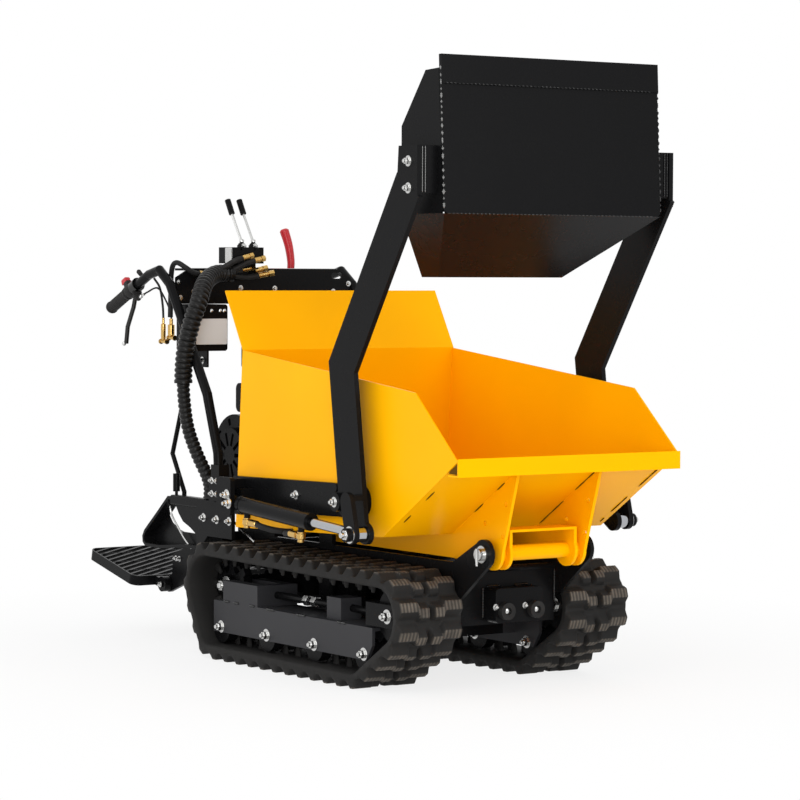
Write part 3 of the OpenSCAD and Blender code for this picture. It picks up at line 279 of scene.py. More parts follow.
class Nodes:
    """Node tree of one material, with short calls to add and link nodes."""

    def __init__(self, name):
        self.mat = bpy.data.materials.new(name)
        self.mat.use_nodes = True
        self.tree = self.mat.node_tree
        self.bsdf = self.tree.nodes["Principled BSDF"]

    def add(self, kind, **settings):
        node = self.tree.nodes.new(kind)
        for key, value in settings.items():
            setattr(node, key, value)
        return node

    def link(self, out, to):
        self.tree.links.new(out, to)

    def math(self, operation, a, b):
        node = self.add("ShaderNodeMath", operation=operation)
        for socket, value in zip(node.inputs, (a, b)):
            if isinstance(value, (int, float)):
                socket.default_value = value
            else:
                self.link(value, socket)
        return node.outputs[0]

    def noise(self, scale, detail=4.0):
        coord = self.add("ShaderNodeTexCoord")
        tex = self.add("ShaderNodeTexNoise")
        tex.inputs["Scale"].default_value = scale
        tex.inputs["Detail"].default_value = detail
        tex.inputs["Roughness"].default_value = 0.55
        self.link(coord.outputs["Object"], tex.inputs["Vector"])
        return tex.outputs["Fac"]

    def mark(self, name):
        return self.add("ShaderNodeAttribute", attribute_name=name).outputs["Fac"]

    def ramp(self, fac, stops):
        node = self.add("ShaderNodeValToRGB")
        while len(node.color_ramp.elements) < len(stops):
            node.color_ramp.elements.new(0.5)
        for element, (place, colour) in zip(node.color_ramp.elements, stops):
            element.position = place
            element.color = (*colour, 1)
        self.link(fac, node.inputs["Fac"])
        return node.outputs["Color"]

    def span(self, fac, low, high, start=0.0, end=1.0):
        node = self.add("ShaderNodeMapRange")
        for key, value in (("From Min", start), ("From Max", end), ("To Min", low), ("To Max", high)):
            node.inputs[key].default_value = value
        self.link(fac, node.inputs["Value"])
        return node.outputs["Result"]

    def bump(self, height, distance, strength):
        node = self.add("ShaderNodeBump")
        node.inputs["Distance"].default_value = distance
        node.inputs["Strength"].default_value = strength
        self.link(height, node.inputs["Height"])
        self.link(node.outputs["Normal"], self.bsdf.inputs["Normal"])

    def colour(self, socket):
        self.link(socket, self.bsdf.inputs["Base Color"])

    def rough(self, socket):
        self.link(socket, self.bsdf.inputs["Roughness"])

    def set(self, **values):
        for key, value in values.items():
            self.bsdf.inputs[key.replace("_", " ")].default_value = value


def shade(colour, factor):
    return tuple(min(1.0, c * factor) for c in colour)


def paint_material(name, colour, rough, spread, peel, gloss, tinge=(1, 1, 1, 1)):
    """Sprayed paint: a slow drift of tone, orange peel and a thin clear gloss."""
    m = Nodes(name)
    m.colour(m.ramp(m.noise(3.0, 2.0), [(0.3, shade(colour, 0.95)), (0.7, shade(colour, 1.03))]))
    m.rough(m.span(m.noise(14.0), rough - spread, rough + spread))
    m.bump(m.noise(peel, 2.0), 0.00015, 0.15)
    m.set(Specular_IOR_Level=gloss, Specular_Tint=tinge)
    return m.mat


def metal_material(name, colour, rough):
    """Plated metal: cloudy tone and roughness over a bright base."""
    m = Nodes(name)
    m.set(Metallic=1.0)
    m.colour(m.ramp(m.noise(90.0), [(0.3, shade(colour, 0.94)), (0.7, colour)]))
    m.rough(m.span(m.noise(160.0), rough * 0.7, rough * 1.3))
    return m.mat


def rubber_material(name, colour, rough):
    """Moulded rubber: faint grey clouds and a fine grain."""
    m = Nodes(name)
    m.colour(m.ramp(m.noise(22.0, 5.0), [(0.35, shade(colour, 0.8)), (0.75, shade(colour, 1.5))]))
    m.rough(m.span(m.noise(40.0), rough - 0.1, rough + 0.12))
    m.bump(m.noise(500.0, 3.0), 0.0004, 0.4)
    m.set(Specular_IOR_Level=0.16)
    return m.mat


def tread_material(name, rubber, dust, rib):
    """Track rubber whose lug tips, marked by height, are dusty and ribbed across the belt."""
    m = Nodes(name)
    wave = m.math("SINE", m.math("MULTIPLY", m.mark("across"), 2 * math.pi / rib), 0.0)
    ribs = m.span(wave, 0.35, 1.0, -0.5, 0.5)
    patchy = m.span(m.noise(35.0, 4.0), 0.45, 1.0, 0.3, 0.7)
    tips = m.math("MULTIPLY", m.mark("tip"), m.math("MULTIPLY", ribs, patchy))
    film = m.span(m.noise(9.0, 5.0), 0.0, 0.035, 0.35, 0.8)
    m.colour(m.ramp(m.math("MAXIMUM", tips, film), [(0.0, rubber), (1.0, dust)]))
    m.rough(m.span(m.noise(40.0), 0.55, 0.8))
    m.bump(m.math("MULTIPLY", m.mark("tip"), ribs), 0.0012, 0.6)
    m.set(Specular_IOR_Level=0.14)
    return m.mat


FINISH = {}


def make_finishes(colours, tracks):
    """Every finish of the machine; those of the record's slots bear the slots' names."""
    c = {key: tuple(getattr(colours, key)) for key in DumperColours.__annotations__}
    tinge = (1, 0.72, 0.05, 1)
    FINISH["paint"] = paint_material("yellow_gloss", c["paint"], 0.36, 0.05, 420.0, 0.13, tinge)
    FINISH["frame_black"] = paint_material("black_satin", c["black"], 0.27, 0.03, 520.0, 0.06)
    FINISH["beam"] = paint_material("grey_satin", c["beam"], 0.46, 0.05, 480.0, 0.14)
    FINISH["bead"] = paint_material("weld_gloss", c["black"], 0.16, 0.05, 300.0, 0.45)
    # painted highlight: bright metal for the glinting welds of the shovel's near side
    FINISH["spatter"] = metal_material("weld_spatter", shade(c["zinc"], 0.5), 0.2)
    FINISH["dark_steel"] = metal_material("lever_steel", shade(c["zinc"], 0.08), 0.16)
    # painted shade: the skip's yellow darkened to a tenth, for the crevices beside its weld runs and the
    # end of the lip's hollow
    FINISH["seam"] = paint_material("seam_shadow", shade(c["paint"], 0.1), 0.6, 0.05, 300.0, 0.1)
    FINISH["red"] = paint_material("red_plastic", c["red"], 0.34, 0.05, 300.0, 0.4)
    FINISH["plate"] = paint_material("plate_white", c["plate"], 0.3, 0.04, 200.0, 0.4)
    FINISH["rubber"] = rubber_material("black_rubber", c["rubber"], 0.55)
    FINISH["tread"] = tread_material("track_rubber", c["rubber"], c["dust"], tracks.rib)
    FINISH["sleeve"] = paint_material("sleeve_gloss", shade(c["rubber"], 0.5), 0.3, 0.06, 300.0, 0.2)
    FINISH["zinc"] = metal_material("zinc_plate", c["zinc"], 0.24)
    FINISH["chrome"] = metal_material("rod_chrome", c["chrome"], 0.11)
    FINISH["brass"] = metal_material("brass_fitting", c["brass"], 0.26)


def dress(obj, finish):
    """One finish over the whole of a piece."""
    obj.data.materials.clear()
    obj.data.materials.append(FINISH[finish])


# ---- Operators


class DUMPER_OT_finishes(bpy.types.Operator):
    """Give every CAD node the finish of its material slot"""

    bl_idname = "dumper.finishes"
    bl_label = "Finishes"

    def execute(self, context):
        make_finishes(context.scene.dumper_colours, context.scene.dumper_tracks)
        for row in FRAME["record"]["subparts"]:
            dress(NODES[row["node"]], row["material_slot"])
        dress(NODES["track_frames"], "beam")
        dress(NODES["brake_levers"], "dark_steel")
        return {"FINISHED"}


# Wheels inside a track, in the order in which the belt meets them: x, z and reach of the lug tips.
# Then the points along each lug, and half the width of a lug's stepped inner part, in millimetres.
TRACK_WHEELS = ((-171, 77, 77), (480, 77, 77), (592, 178, 103), (-187, 180, 112))
LUG_POINTS = 28
STEP_HALF = 38


def belt_line(lug, samples):
    """Points x, z and outward angle at even steps round the wheels: arcs joined by outer tangents."""
    wheels = np.array(TRACK_WHEELS, float) * MM
    centre, r = wheels[:, :2], wheels[:, 2] - lug
    way, less = np.roll(centre, -1, 0) - centre, r - np.roll(r, -1)
    far = np.hypot(way[:, 0], way[:, 1])
    normal = np.arctan2(way[:, 1], way[:, 0]) - np.arccos(less / far)
    turn = (normal - np.roll(normal, 1)) % (2 * np.pi)
    run = np.sqrt(far**2 - less**2)
    knots, start, angle = [], 0.0, normal[-1]
    for i in range(len(wheels)):
        a = angle + np.linspace(0, turn[i], 90)
        x, z = centre[i, 0] + r[i] * np.cos(a), centre[i, 1] + r[i] * np.sin(a)
        knots.append(np.stack([start + r[i] * (a - angle), x, z, a], -1))
        start, angle = start + r[i] * turn[i] + run[i], angle + turn[i]
    last = knots[0][:1] + [start, 0, 0, 2 * np.pi]
    s, x, z, a = np.vstack([*knots, last]).T
    even = start * np.arange(samples) / samples
    return even, np.interp(even, s, x), np.interp(even, s, z), np.interp(even, s, a), start


def make_track(side, t):
    """Belt surface p(s, v) = c(s) + v y + h(s, v) n(s), where h is the height of the stepped lugs."""
    s, x, z, a, length = belt_line(t.lug, t.shoes * LUG_POINTS)
    half = t.width / 2
    edge = np.array([0, 1.5, 3.5, 6]) * MM
    flat = np.array([12, 20, 28, 34, 40, 46, 49, 51, 53, 55, 58, 64, 70, 76, 79, 81, 83, 85, 87]) * MM
    left = np.concatenate([edge, flat, [half]]) - half
    v = np.concatenate([left, -left[-2::-1]])
    pitch = length / t.shoes
    away = (s / pitch % 1 - 0.5)[:, None] * pitch
    shift = -t.step * np.clip((STEP_HALF * MM - np.abs(v)) / (6 * MM), 0, 1)
    rise = np.clip((t.tip / 2 + t.slope - np.abs(away - shift)) / t.slope, 0, 1)
    rise = rise * rise * (3 - 2 * rise) * 0.2 + rise * 0.8
    rim = np.clip((half - np.abs(v)) / (5 * MM), 0, 1) * np.clip((np.abs(v) - 3 * MM) / (6 * MM), 0, 1)
    height = t.lug * rise * rim
    inner = np.array([half, half - 4 * MM, half / 2, 0, -half / 2, 4 * MM - half, -half])
    under = -t.belt * np.array([0.75, 1, 1, 1, 1, 1, 0.75])
    across = np.concatenate([v, inner])
    out = np.hstack([height, np.broadcast_to(under, (len(s), len(inner)))])
    normal = np.stack([np.cos(a), np.zeros_like(a), np.sin(a)], -1)
    centre = np.stack([x, np.full_like(x, side * t.gauge), z], -1)
    skin = Skin()
    skin.grid(centre[:, None] + out[..., None] * normal[:, None] + across[:, None] * Y, True, True, False)
    tip = np.clip((out / t.lug - 0.93) / 0.06, 0, 1)
    marks = [tip.ravel(), np.broadcast_to(across, out.shape).ravel()]
    # guide horns inside the belt, a tapered pair under each lug
    levels = np.array([[11.5, 5.5, -1], [10.5, 5, 10], [6.5, 3.5, 26], [5, 2.5, 28]]) * MM
    turns = 2 * np.pi * np.arange(12) / 12
    no_mark = np.zeros(len(levels) * len(turns))
    for i in range(LUG_POINTS // 2, t.shoes * LUG_POINTS, LUG_POINTS):
        along = np.array([-normal[i, 2], 0, normal[i, 0]])
        for hand in SIDES:
            base = centre[i] - t.belt * normal[i] + hand * 15.5 * MM * Y
            ring = np.cos(turns)[:, None, None] * levels[:, 0, None] * along
            ring = ring + np.sin(turns)[:, None, None] * levels[:, 1, None] * Y
            skin.grid((base + ring - levels[:, 2, None] * normal[i]).transpose(1, 0, 2))
            marks = [np.concatenate([mark, no_mark]) for mark in marks]
    skin.marks = dict(zip(("tip", "across"), marks))
    return skin


class DUMPER_OT_tracks(bpy.types.Operator):
    """Rubber tracks with stepped lugs and guide horns"""

    bl_idname = "dumper.tracks"
    bl_label = "Tracks"

    def execute(self, context):
        for side, node in ((1, "track_left"), (-1, "track_right")):
            skin = make_track(side, context.scene.dumper_tracks)
            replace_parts(skin.make(node + "_tread", "tread", "rubber", angle=50), node)
        return {"FINISHED"}


class DUMPER_OT_running_gear(bpy.types.Operator):
    """Axle bolts, hub nuts and welds of the running gear"""

    bl_idname = "dumper.running_gear"
    bl_label = "Running gear"

    def execute(self, context):
        f = context.scene.dumper_fittings
        steel, weld = Skin(), Skin()
        rollers, beam_y, inner_y = -171 + 217 * np.arange(4), 299, 183
        for side in SIDES:
            out = side * Y
            for x in rollers:
                bolt(steel, mm(x + 16, side * beam_y, 81), out, f.axle)
                bolt(steel, mm(x, side * inner_y, 77), -out, f.axle)
            bolt(steel, mm(596, side * 301, 178), out, f.axle * 1.1)
            bolt(steel, mm(596, side * 181, 178), -out, f.axle * 1.1)
            bolt(steel, mm(-187, side * 265, 180), out, f.axle * 1.5, stud=0.2)
            # lock nuts on the rod that tightens the track
            for x in (150, 186):
                nut = [(10, 0), (14, 1), (14, 17), (12.5, 18)]
                steel.grid(lathe(np.array(nut) * MM, mm(x, side * 241, 172), X, 6))
            y = side * (beam_y + 0.5)
            for x in (-140, -95, -20):
                bead(weld, mm(x, y, 146), mm(x + 26, y, 146), f.bead)
            for x in (60, 200, 380):
                bead(weld, mm(x, y, 145), mm(x + 40, y, 145), f.bead)
        steel.make("running_gear_bolts", "zinc", "zinc")
        weld.make("running_gear_welds", "bead", "frame_black")
        return {"FINISHED"}


class DUMPER_OT_chassis_fittings(bpy.types.Operator):
    """Bolts, buffers' screws and welds of the chassis, deck and platform, and a painted highlight along the
    console's top edge
    """

    bl_idname = "dumper.chassis_fittings"
    bl_label = "Chassis fittings"

    def execute(self, context):
        f = context.scene.dumper_fittings
        steel, weld = Skin(), Skin()
        for side in SIDES:
            out = side * Y
            for x in (-209, -183):
                for z in (411, 444):
                    bolt(steel, mm(x, side * 296, z), out, f.bolt * 0.9)
            for x, z in ((-268, 346), (-203, 345), (-142, 345)):
                bolt(steel, mm(x, side * 285, z), out, f.bolt * 1.15)
            for x in (-570, -552):
                bolt(steel, mm(x, side * 193, 213), out, f.bolt * 0.8)
            hinge = mm(PLATFORM_HINGE[0], side * 219, PLATFORM_HINGE[1])
            bolt(steel, hinge, out, f.bolt * 0.9, stud=0)
            # round screw in each buffer's dish, and the end of the screw beside it
            dish = np.array([(8.5, 0), (8.5, 2), (6.5, 5), (2.5, 6.5)]) * MM
            steel.grid(lathe(dish, mm(704, side * 42, 186), X, 18))
            bolt(steel, mm(698, side * 42 - 26, 196), X, f.bolt * 0.8)
            bead(weld, mm(649, side * 70, 166), mm(649, side * 70, 240), f.bead * 1.1)
            bead(weld, mm(650, side * 136, 196), mm(650, side * 136, 272), f.bead * 1.1)
            bead(weld, mm(650, side * 60, 240), mm(650, side * 20, 240), f.bead)
        # painted highlight: a bright zinc rod along the console's top edge stands in for the light on the
        # black flange's rounded edge
        steel.grid(tube([mm(-445, y, 975.5) for y in (-226, 0, 226)], 2.6 * MM, 10))
        for y, z in ((-259, 942), (-255, 901), (-214, 917), (-73, 926), (31, 925), (214, 917), (262, 938)):
            bolt(steel, mm(-442, y, z), X, f.bolt * 0.75, stud=0.15)
        steel.make("chassis_bolts", "zinc", "zinc")
        weld.make("chassis_welds", "bead", "frame_black")
        return {"FINISHED"}


class DUMPER_OT_hinge_fittings(bpy.types.Operator):
    """Cotters through the skip's hinge pins"""

    bl_idname = "dumper.hinge_fittings"
    bl_label = "Hinge fittings"

    def execute(self, context):
        steel = Skin()
        for side in SIDES:
            legs = [mm(756, side * 165, 341), mm(756, side * 165, 320), mm(760, side * 166, 301)]
            steel.grid(tube(curve(legs), 3 * MM, 8))
        steel.make("hinge_cotters", "zinc", "zinc")
        return {"FINISHED"}


# Hollow inside the folded lip, seen from its end, whose end is covered by a dark sheet of painted shade: x
# and z in millimetres.
LIP_HOLLOW = ((890.5, 546), (890.5, 522.5), (859, 522.5), (859, 526.5))


class DUMPER_OT_skip_fittings(bpy.types.Operator):
    """Bolts of the loader's mounts, and painted shade in the skip: dark lines of shaded yellow in the gaps
    between weld runs of its panels, and a dark sheet over the end of the lip's hollow
    """

    bl_idname = "dumper.skip_fittings"
    bl_label = "Skip fittings"

    def execute(self, context):
        f = context.scene.dumper_fittings
        steel, dark = Skin(), Skin()
        for side in SIDES:
            out = side * Y
            for x, z in ((44, 428), (52, 408)):
                bolt(steel, mm(x, side * 402, z), out, f.bolt * 1.4, stud=0.5)
            bolt(steel, mm(240, side * 327, 437), out, f.bolt * 1.2)
            bolt(steel, mm(451, side * 327, 452), out, f.bolt * 1.2)
            bolt(steel, mm(486, side * 376, 438), out, f.bolt * 1.3)
            # painted shade: a dark sheet over the end of the hollow inside the folded lip
            dark.grid(np.array([[mm(x, side * y, z) for x, z in LIP_HOLLOW] for y in (311, 313)]))
        # painted shade: lines of darkened yellow along the gaps between weld runs, where the crevices lie
        # in shade
        fold, lip, below = mm(597, 0, 362), mm(893, 0, 550), mm(0.55, 0, -0.85)
        for y, runs in (
            (112.5, ((0.08, 0.4), (0.55, 0.82))),
            (-121.5, ((0.3, 0.42), (0.6, 0.7))),
            (298, ((0.06, 0.12), (0.2, 0.42), (0.56, 0.86))),
            (-298, ((0.2, 0.3), (0.5, 0.62))),
        ):
            for a, b in runs:
                ends = [fold + k * (lip - fold) + below + mm(0, y, 0) for k in (a, b)]
                bead(dark, *ends, 1.7 * MM, 0.05)
        steel.make("skip_bolts", "zinc", "zinc", "skip")
        dark.make("skip_seams", "seam", "paint", "skip")
        return {"FINISHED"}


class DUMPER_OT_loader_fittings(bpy.types.Operator):
    """Nuts, bolts and welds of the arms and the shovel; the near side's welds are bright metal, a painted
    highlight
    """

    bl_idname = "dumper.loader_fittings"
    bl_label = "Loader fittings"

    def execute(self, context):
        f = context.scene.dumper_fittings
        steel, weld, dark = Skin(), Skin(), Skin()
        chance = np.random.default_rng(4)
        for side in SIDES:
            out = side * Y
            # end of the rod's pin, with a washer and a thick nut
            bolt(steel, mm(593, side * 402, 371), out, f.bolt * 2.1, stud=0.45)
            for z in (1217, 1157):
                bolt(steel, mm(768, side * 364, z), out, f.bolt * 1.3)
            # broken weld down the front corner, thickest beside the bracket; painted highlight: bright
            # metal on the near side, glossy black on the far side
            z = 1112.0
            while z < 1425:
                run, gap = chance.uniform(5, 14), chance.uniform(3, 8)
                thick = chance.uniform(0.8, 1.5) if 1132 < z < 1245 else chance.uniform(0.5, 0.9)
                x = 808 + 18 * (1455 - z) / 354
                ends = mm(x, side * 307, z), mm(x - 0.05 * run, side * 307, z + run)
                bead(weld if side < 0 else dark, *ends, f.bead * thick, 0.004)
                z += run + gap
            # painted highlight: the welds beside the bracket are bright metal on the near side only
            for y in (340, 348):
                ends = mm(799, side * y, 1147), mm(799, side * y, 1250)
                bead(weld if side < 0 else dark, *ends, f.bead * 0.6)
        for y in np.arange(-296, 280, 11.0):
            low, high = chance.uniform(0.4, 0.7), chance.uniform(0.3, 0.6)
            bead(dark, mm(826, y, 1101), mm(826, y + 8, 1101), f.bead * low, 0.004)
            bead(dark, mm(815.5, y, 1390 + 4 * high), mm(815.5, y + 7, 1390), f.bead * high, 0.004)
        steel.make("loader_bolts", "zinc", "zinc", "loader")
        weld.make("loader_welds", "spatter", "frame_black", "loader")
        dark.make("shovel_seams", "bead", "frame_black", "loader")
        return {"FINISHED"}


# Route of the corrugated conduit, close to the part's source, in millimetres.
CONDUIT = (
    (-420.7, -114, 964), (-420.7, -138, 964), (-410, -168, 962), (-386, -204, 950), (-350, -240, 930),
    (-323, -268, 892), (-318, -291, 842), (-324, -306, 775), (-332, -308, 710), (-332, -306, 645),
    (-315, -304, 572), (-286, -295, 508), (-264, -278, 452), (-262, -270, 420), (-262, -272, 393.3),
)  # fmt: skip


class DUMPER_OT_conduit(bpy.types.Operator):
    """Corrugated conduit that sheathes the hoses between valve and deck"""

    bl_idname = "dumper.conduit"
    bl_label = "Conduit"

    def execute(self, context):
        f = context.scene.dumper_fittings
        path = curve(np.array(CONDUIT) * MM, 0.0011)
        s = run_of(path)
        step = s[np.argmax(path[:, 2] < 0.685)]
        upper = s < step
        wide, groove = np.where(upper, 23.5, 17) * MM, np.where(upper, 4.0, 3.0) * MM
        wave = np.abs(np.sin(np.pi * s / np.where(upper, f.ring, 0.96 * f.ring))) ** 0.8
        cuff = (s < 6 * MM) | (np.abs(s - step + 4 * MM) < 4 * MM)
        skin = Skin()
        skin.grid(tube(path, np.where(cuff, wide, wide - groove * (1 - wave)), 26))
        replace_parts(skin.make("conduit_rings", "sleeve", "rubber"), "conduit")
        return {"FINISHED"}


# Lift cylinder at rest: its base pin's x, y and z and the way to its rod's eye, in millimetres.
LIFT_BASE = (32, 377, 408)
LIFT_WAY = unit((561, 0, -37))
# Block under the skip's floor that takes a lift cylinder's two hoses: its middle's x, y and z.
HOSE_BLOCK = (223, 188, 371)


class DUMPER_OT_hoses(bpy.types.Operator):
    """Hoses from the valve's fittings into the conduit, and those under the lift cylinders"""

    bl_idname = "dumper.hoses"
    bl_label = "Hoses"

    def execute(self, context):
        f = context.scene.dumper_fittings
        hose, brass = Skin(), Skin()
        routes = (
            ((-390, -98, 1004), (-392, -118, 998), (-403, -142, 982), (-413, -166, 970)),
            ((-390, -62, 998), (-395, -86, 991), (-406, -112, 976), (-414, -140, 966)),
            ((-424, -80, 973), (-424, -100, 970), (-424, -130, 966)),
            ((-426, -28, 958), (-428, -60, 954), (-426, -96, 956), (-421, -132, 961)),
        )
        for route in routes:
            hose.grid(tube(curve(np.array(route) * MM), f.hose))
        # ferrules and hexagon nuts in place of the plain fittings, each from its hose to the valve
        ends = (
            ((-390, -100, 1004), (-390, -68, 1011)), ((-390, -64, 998), (-390, -32, 1004)),
            ((-424, -82, 973), (-420, -44, 980)), ((-424, -42, 971), (-420, -6, 979)),
            ((-426, -30, 958), (-420, 14, 966)),
        )  # fmt: skip
        valve = Skin()
        for start, end in (np.array(pair) * MM for pair in ends):
            span, way = np.linalg.norm(end - start), end - start
            part = [(5.6, 0), (7.4, 0.03), (7.4, 0.6), (5.2, 0.62), (5.2, 0.68)]
            valve.grid(lathe([(r * MM, z * span) for r, z in part], start, way, 16))
            valve.grid(lathe([(8.6 * MM, 0.66 * span), (8.6 * MM, span)], start, way, 6))
        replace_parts(valve.make("valve_fittings", "brass", "brass"), "hose_fittings")
        steel, boots = Skin(), Skin()
        steel.grid(slab(mm(-415, -124, 1011), X, Z, 32 * MM, 40 * MM, 3 * MM, 14.0))
        for y in (-75, -40):
            fold = [(11, 0), (12.5, 2), (10.5, 4), (11.5, 6), (9.5, 8), (10, 10), (7, 12), (5, 14)]
            boots.grid(lathe(np.array(fold) * MM, mm(-434, y, 1031), Z, 18))
            joint = np.array([(3.6, -2), (6, 0), (6.5, 3), (6, 6), (3.6, 8)]) * MM
            steel.grid(lathe(joint, mm(-434, y, 1046), Z, 16))
            bolt(steel, mm(-424, y, 1036), X, f.bolt * 0.7)
        steel.make("valve_plates", "zinc", "zinc")
        boots.make("lever_boots", "rubber", "rubber")
        # return hose over the console's edge, from a long brass fitting
        fitting = np.array([(7, 0), (9.5, 1), (9.5, 14), (8, 15), (8, 40), (9, 41), (9, 47)]) * MM
        brass.grid(lathe(fitting, mm(-430, -158, 962), -Y, 16))
        over = (
            (-430, -200, 962), (-430, -222, 966), (-436, -244, 980), (-452, -256, 991), (-472, -258, 986),
            (-486, -256, 962), (-492, -254, 920), (-498, -252, 850),
        )  # fmt: skip
        hose.grid(tube(curve(np.array(over) * MM), f.hose * 0.9))
        hose.make("valve_hoses", "rubber", "rubber")
        brass.make("return_fitting", "brass", "brass")
        for side, name in ((1, "left"), (-1, "right")):
            brass = Skin()
            base, inboard = mm(*LIFT_BASE) * (1, side, 1), -side * Y
            down = np.cross(Y, LIFT_WAY)
            for along, ahead in ((68, 1), (314, -1)):
                port = base + along * MM * LIFT_WAY + 29 * MM * down
                banjo = [(9, 0), (9, 3), (11, 4), (11, 16), (9, 17), (8, 18), (8, 24), (6.5, 25)]
                brass.grid(lathe(np.array(banjo) * MM, port, down, 14))
                neck, middle = port + 10 * MM * down, ahead * LIFT_WAY
                ferrule = np.array([(6, 8), (6, 16), (9, 17), (9, 46), (7.5, 47)]) * MM
                brass.grid(lathe(ferrule, neck, middle, 14))
                run = [(46, 0, 0), (70, 2, 3), (96, 22, 8), (108, 62, 11)]
                line = [neck + MM * (a * middle + b * inboard + c * down) for a, b, c in run]
                meet = HOSE_BLOCK[0] - 14 * ahead
                line += [mm(meet, side * 250, 355), mm(meet, side * 190, 357)]
                hose = Skin()
                hose.grid(tube(curve(line), f.hose))
                end = "rear" if ahead > 0 else "front"
                made = hose.make(f"lift_hose_{end}_{name}", "rubber", "rubber", None)
                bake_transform(made)
            block = Skin()
            block.grid(slab(mm(*HOSE_BLOCK) * (1, side, 1), X, -Y, 64 * MM, 24 * MM, 25 * MM, 20.0))
            block.make("hose_block_" + name, "frame_black", "frame_black", "skip")
            brass.make("lift_banjos_" + name, "brass", "brass", "lift_cylinder_" + name)
        return {"FINISHED"}


# Handlebar's straight end in the plane of each bar: its tip and the way back along it.
BAR_END, BAR_Y = (-770, 869), 280
BAR_BACK = unit((210, 0, 91))


def on_bar(distance, side, lift=0.0):
    tip = mm(BAR_END[0], side * BAR_Y, BAR_END[1])
    return tip + MM * (distance * BAR_BACK + lift * np.cross(BAR_BACK, Y))


class DUMPER_OT_controls(bpy.types.Operator):
    """Ribbed grips, switches, yokes and the blank plate of the operator's stand"""

    bl_idname = "dumper.controls"
    bl_label = "Controls"

    def execute(self, context):
        grips, black, red, brass, steel, plate, lever = (Skin() for _ in range(7))
        d = np.linspace(0, 112, 150)
        rib = 15.4 + 0.5 * np.sin(2 * np.pi * d / 7.5) + 2.6 * np.exp(-(((d - 104) / 5) ** 2))
        rib = np.where(d < 10, 11 + 6 * np.sqrt(np.clip(1 - (1 - d / 10) ** 2, 0, 1)), rib)
        for side in SIDES:
            grips.grid(lathe(np.stack([rib, d], -1) * MM, on_bar(0, side), BAR_BACK, 28))
            housing = np.array([(14, 0), (19, 2), (20, 12), (19, 24), (14, 26)]) * MM
            black.grid(lathe(housing, on_bar(114, side), BAR_BACK, 20))
            boot = [(9, 0), (14, 3), (10, 6), (13, 9), (9.5, 12), (12, 15), (8.5, 18), (10, 22), (4, 28)]
            black.grid(lathe(np.array(boot) * MM, on_bar(150, side, -12), 0.45 * BAR_BACK - Z, 18))
            start, way = on_bar(158, side, -34), unit(BAR_BACK - 0.1 * Z)
            barrel = np.array([(4, 0), (5, 6), (5, 12), (3.5, 13), (3.5, 26), (2.5, 27)]) * MM
            steel.grid(lathe(barrel, start, way, 12))
            cable = [start + 0.026 * way, start + 0.045 * way]
            for x, y, z in ((-536, 268, 925), (-510, 258, 892), (-498, 251, 860), (-496, 250, 843)):
                cable.append(mm(x, side * y, z))
            black.grid(tube(curve(cable), 2.4 * MM, 8))
            ball = np.array([(1, -6), (4.5, -4), (6, 0), (4.5, 4), (1, 6)]) * MM
            steel.grid(lathe(ball, mm(-695, side * 280, 777), Z, 14))
        # red stop switch and choke knob on the right bar
        red.grid(slab(on_bar(106, -1, 27), BAR_BACK, Y, 24 * MM, 15 * MM, 14 * MM, 14.0))
        black.grid(slab(on_bar(114, -1, 12), BAR_BACK, Y, 22 * MM, 18 * MM, 18 * MM, 5.0))
        knob = np.array([(4, 0), (4, 8), (6, 10), (6.5, 24), (4, 28)]) * MM
        black.grid(lathe(knob, on_bar(194, -1, 10), np.cross(BAR_BACK, Y) - 0.7 * BAR_BACK, 14))
        # brass yokes that join the levers' cables to the gearbox's rods
        for x, top, low, r in ((-538, 847, 790, 6.5), (-497, 846, 800, 9)):
            body = [(r * 0.55, 0), (r * 0.55, 14), (r, 16), (r, top - low - 4), (r * 0.6, top - low)]
            brass.grid(lathe(np.array(body) * MM, mm(x, -250, top), -Z, 16))
            pin = np.array([(7, 0), (7, 4), (4.5, 5), (4.5, 29), (7, 30), (7, 34)]) * MM
            brass.grid(lathe(pin, mm(x - 14, -250, low - 4), X, 14))
        rod = [mm(-538, -250, 846), mm(-540, -251, 880), mm(-546, -256, 925), mm(-556, -268, 951)]
        black.grid(tube(curve(rod), 3 * MM, 10))
        # flat red handle of the shift lever, which widens towards its rounded top
        line = [mm(-468, 97, 977), mm(-468, 97, 1000), mm(-472, 92, 1040), mm(-480, 82, 1082)]
        stem = curve(line, 0.002)
        up = np.linspace(0, 1, len(stem))
        lever.grid(tube(stem, (9.5 + 3 * up) * MM * np.sqrt(np.clip((1.02 - up) / 0.06, 0.05, 1)), 24))
        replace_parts(lever.make("shift_handle", "red", "red"), "shift_lever")
        plate.grid(slab(mm(-351.8, -214, 815), Y, Z, 92 * MM, 66 * MM, 1.2 * MM, 30.0))
        for y, z in ((-250, 868), (-214, 868), (-188, 868), (-176, 868)):
            head = np.array([(5, 0), (5, 1.5), (3, 3.4), (1, 4)]) * MM
            steel.grid(lathe(head, mm(-352, y, z), X, 14))
        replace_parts(grips.make("grip_ribs", "rubber", "rubber"), "grips")
        black.make("control_housings", "rubber", "rubber")
        red.make("stop_switch", "red", "red")
        brass.make("cable_yokes", "brass", "brass")
        steel.make("control_screws", "zinc", "zinc")
        plate.make("blank_plate", "plate", "zinc")
        return {"FINISHED"}


# Outlines of the plates inside a rear guard: x, lower and upper z in millimetres.
WING = ((-300, 295, 368), (-340, 315, 368), (-377, 328, 368), (-399, 347, 368), (-414, 366, 368))
WEB = (
    (-330, 252, 296), (-434, 252, 296), (-460, 252, 301), (-493, 252, 316), (-514, 252, 338),
    (-521, 252, 356), (-545, 252, 330), (-575, 254, 296), (-590, 262, 272),
)  # fmt: skip


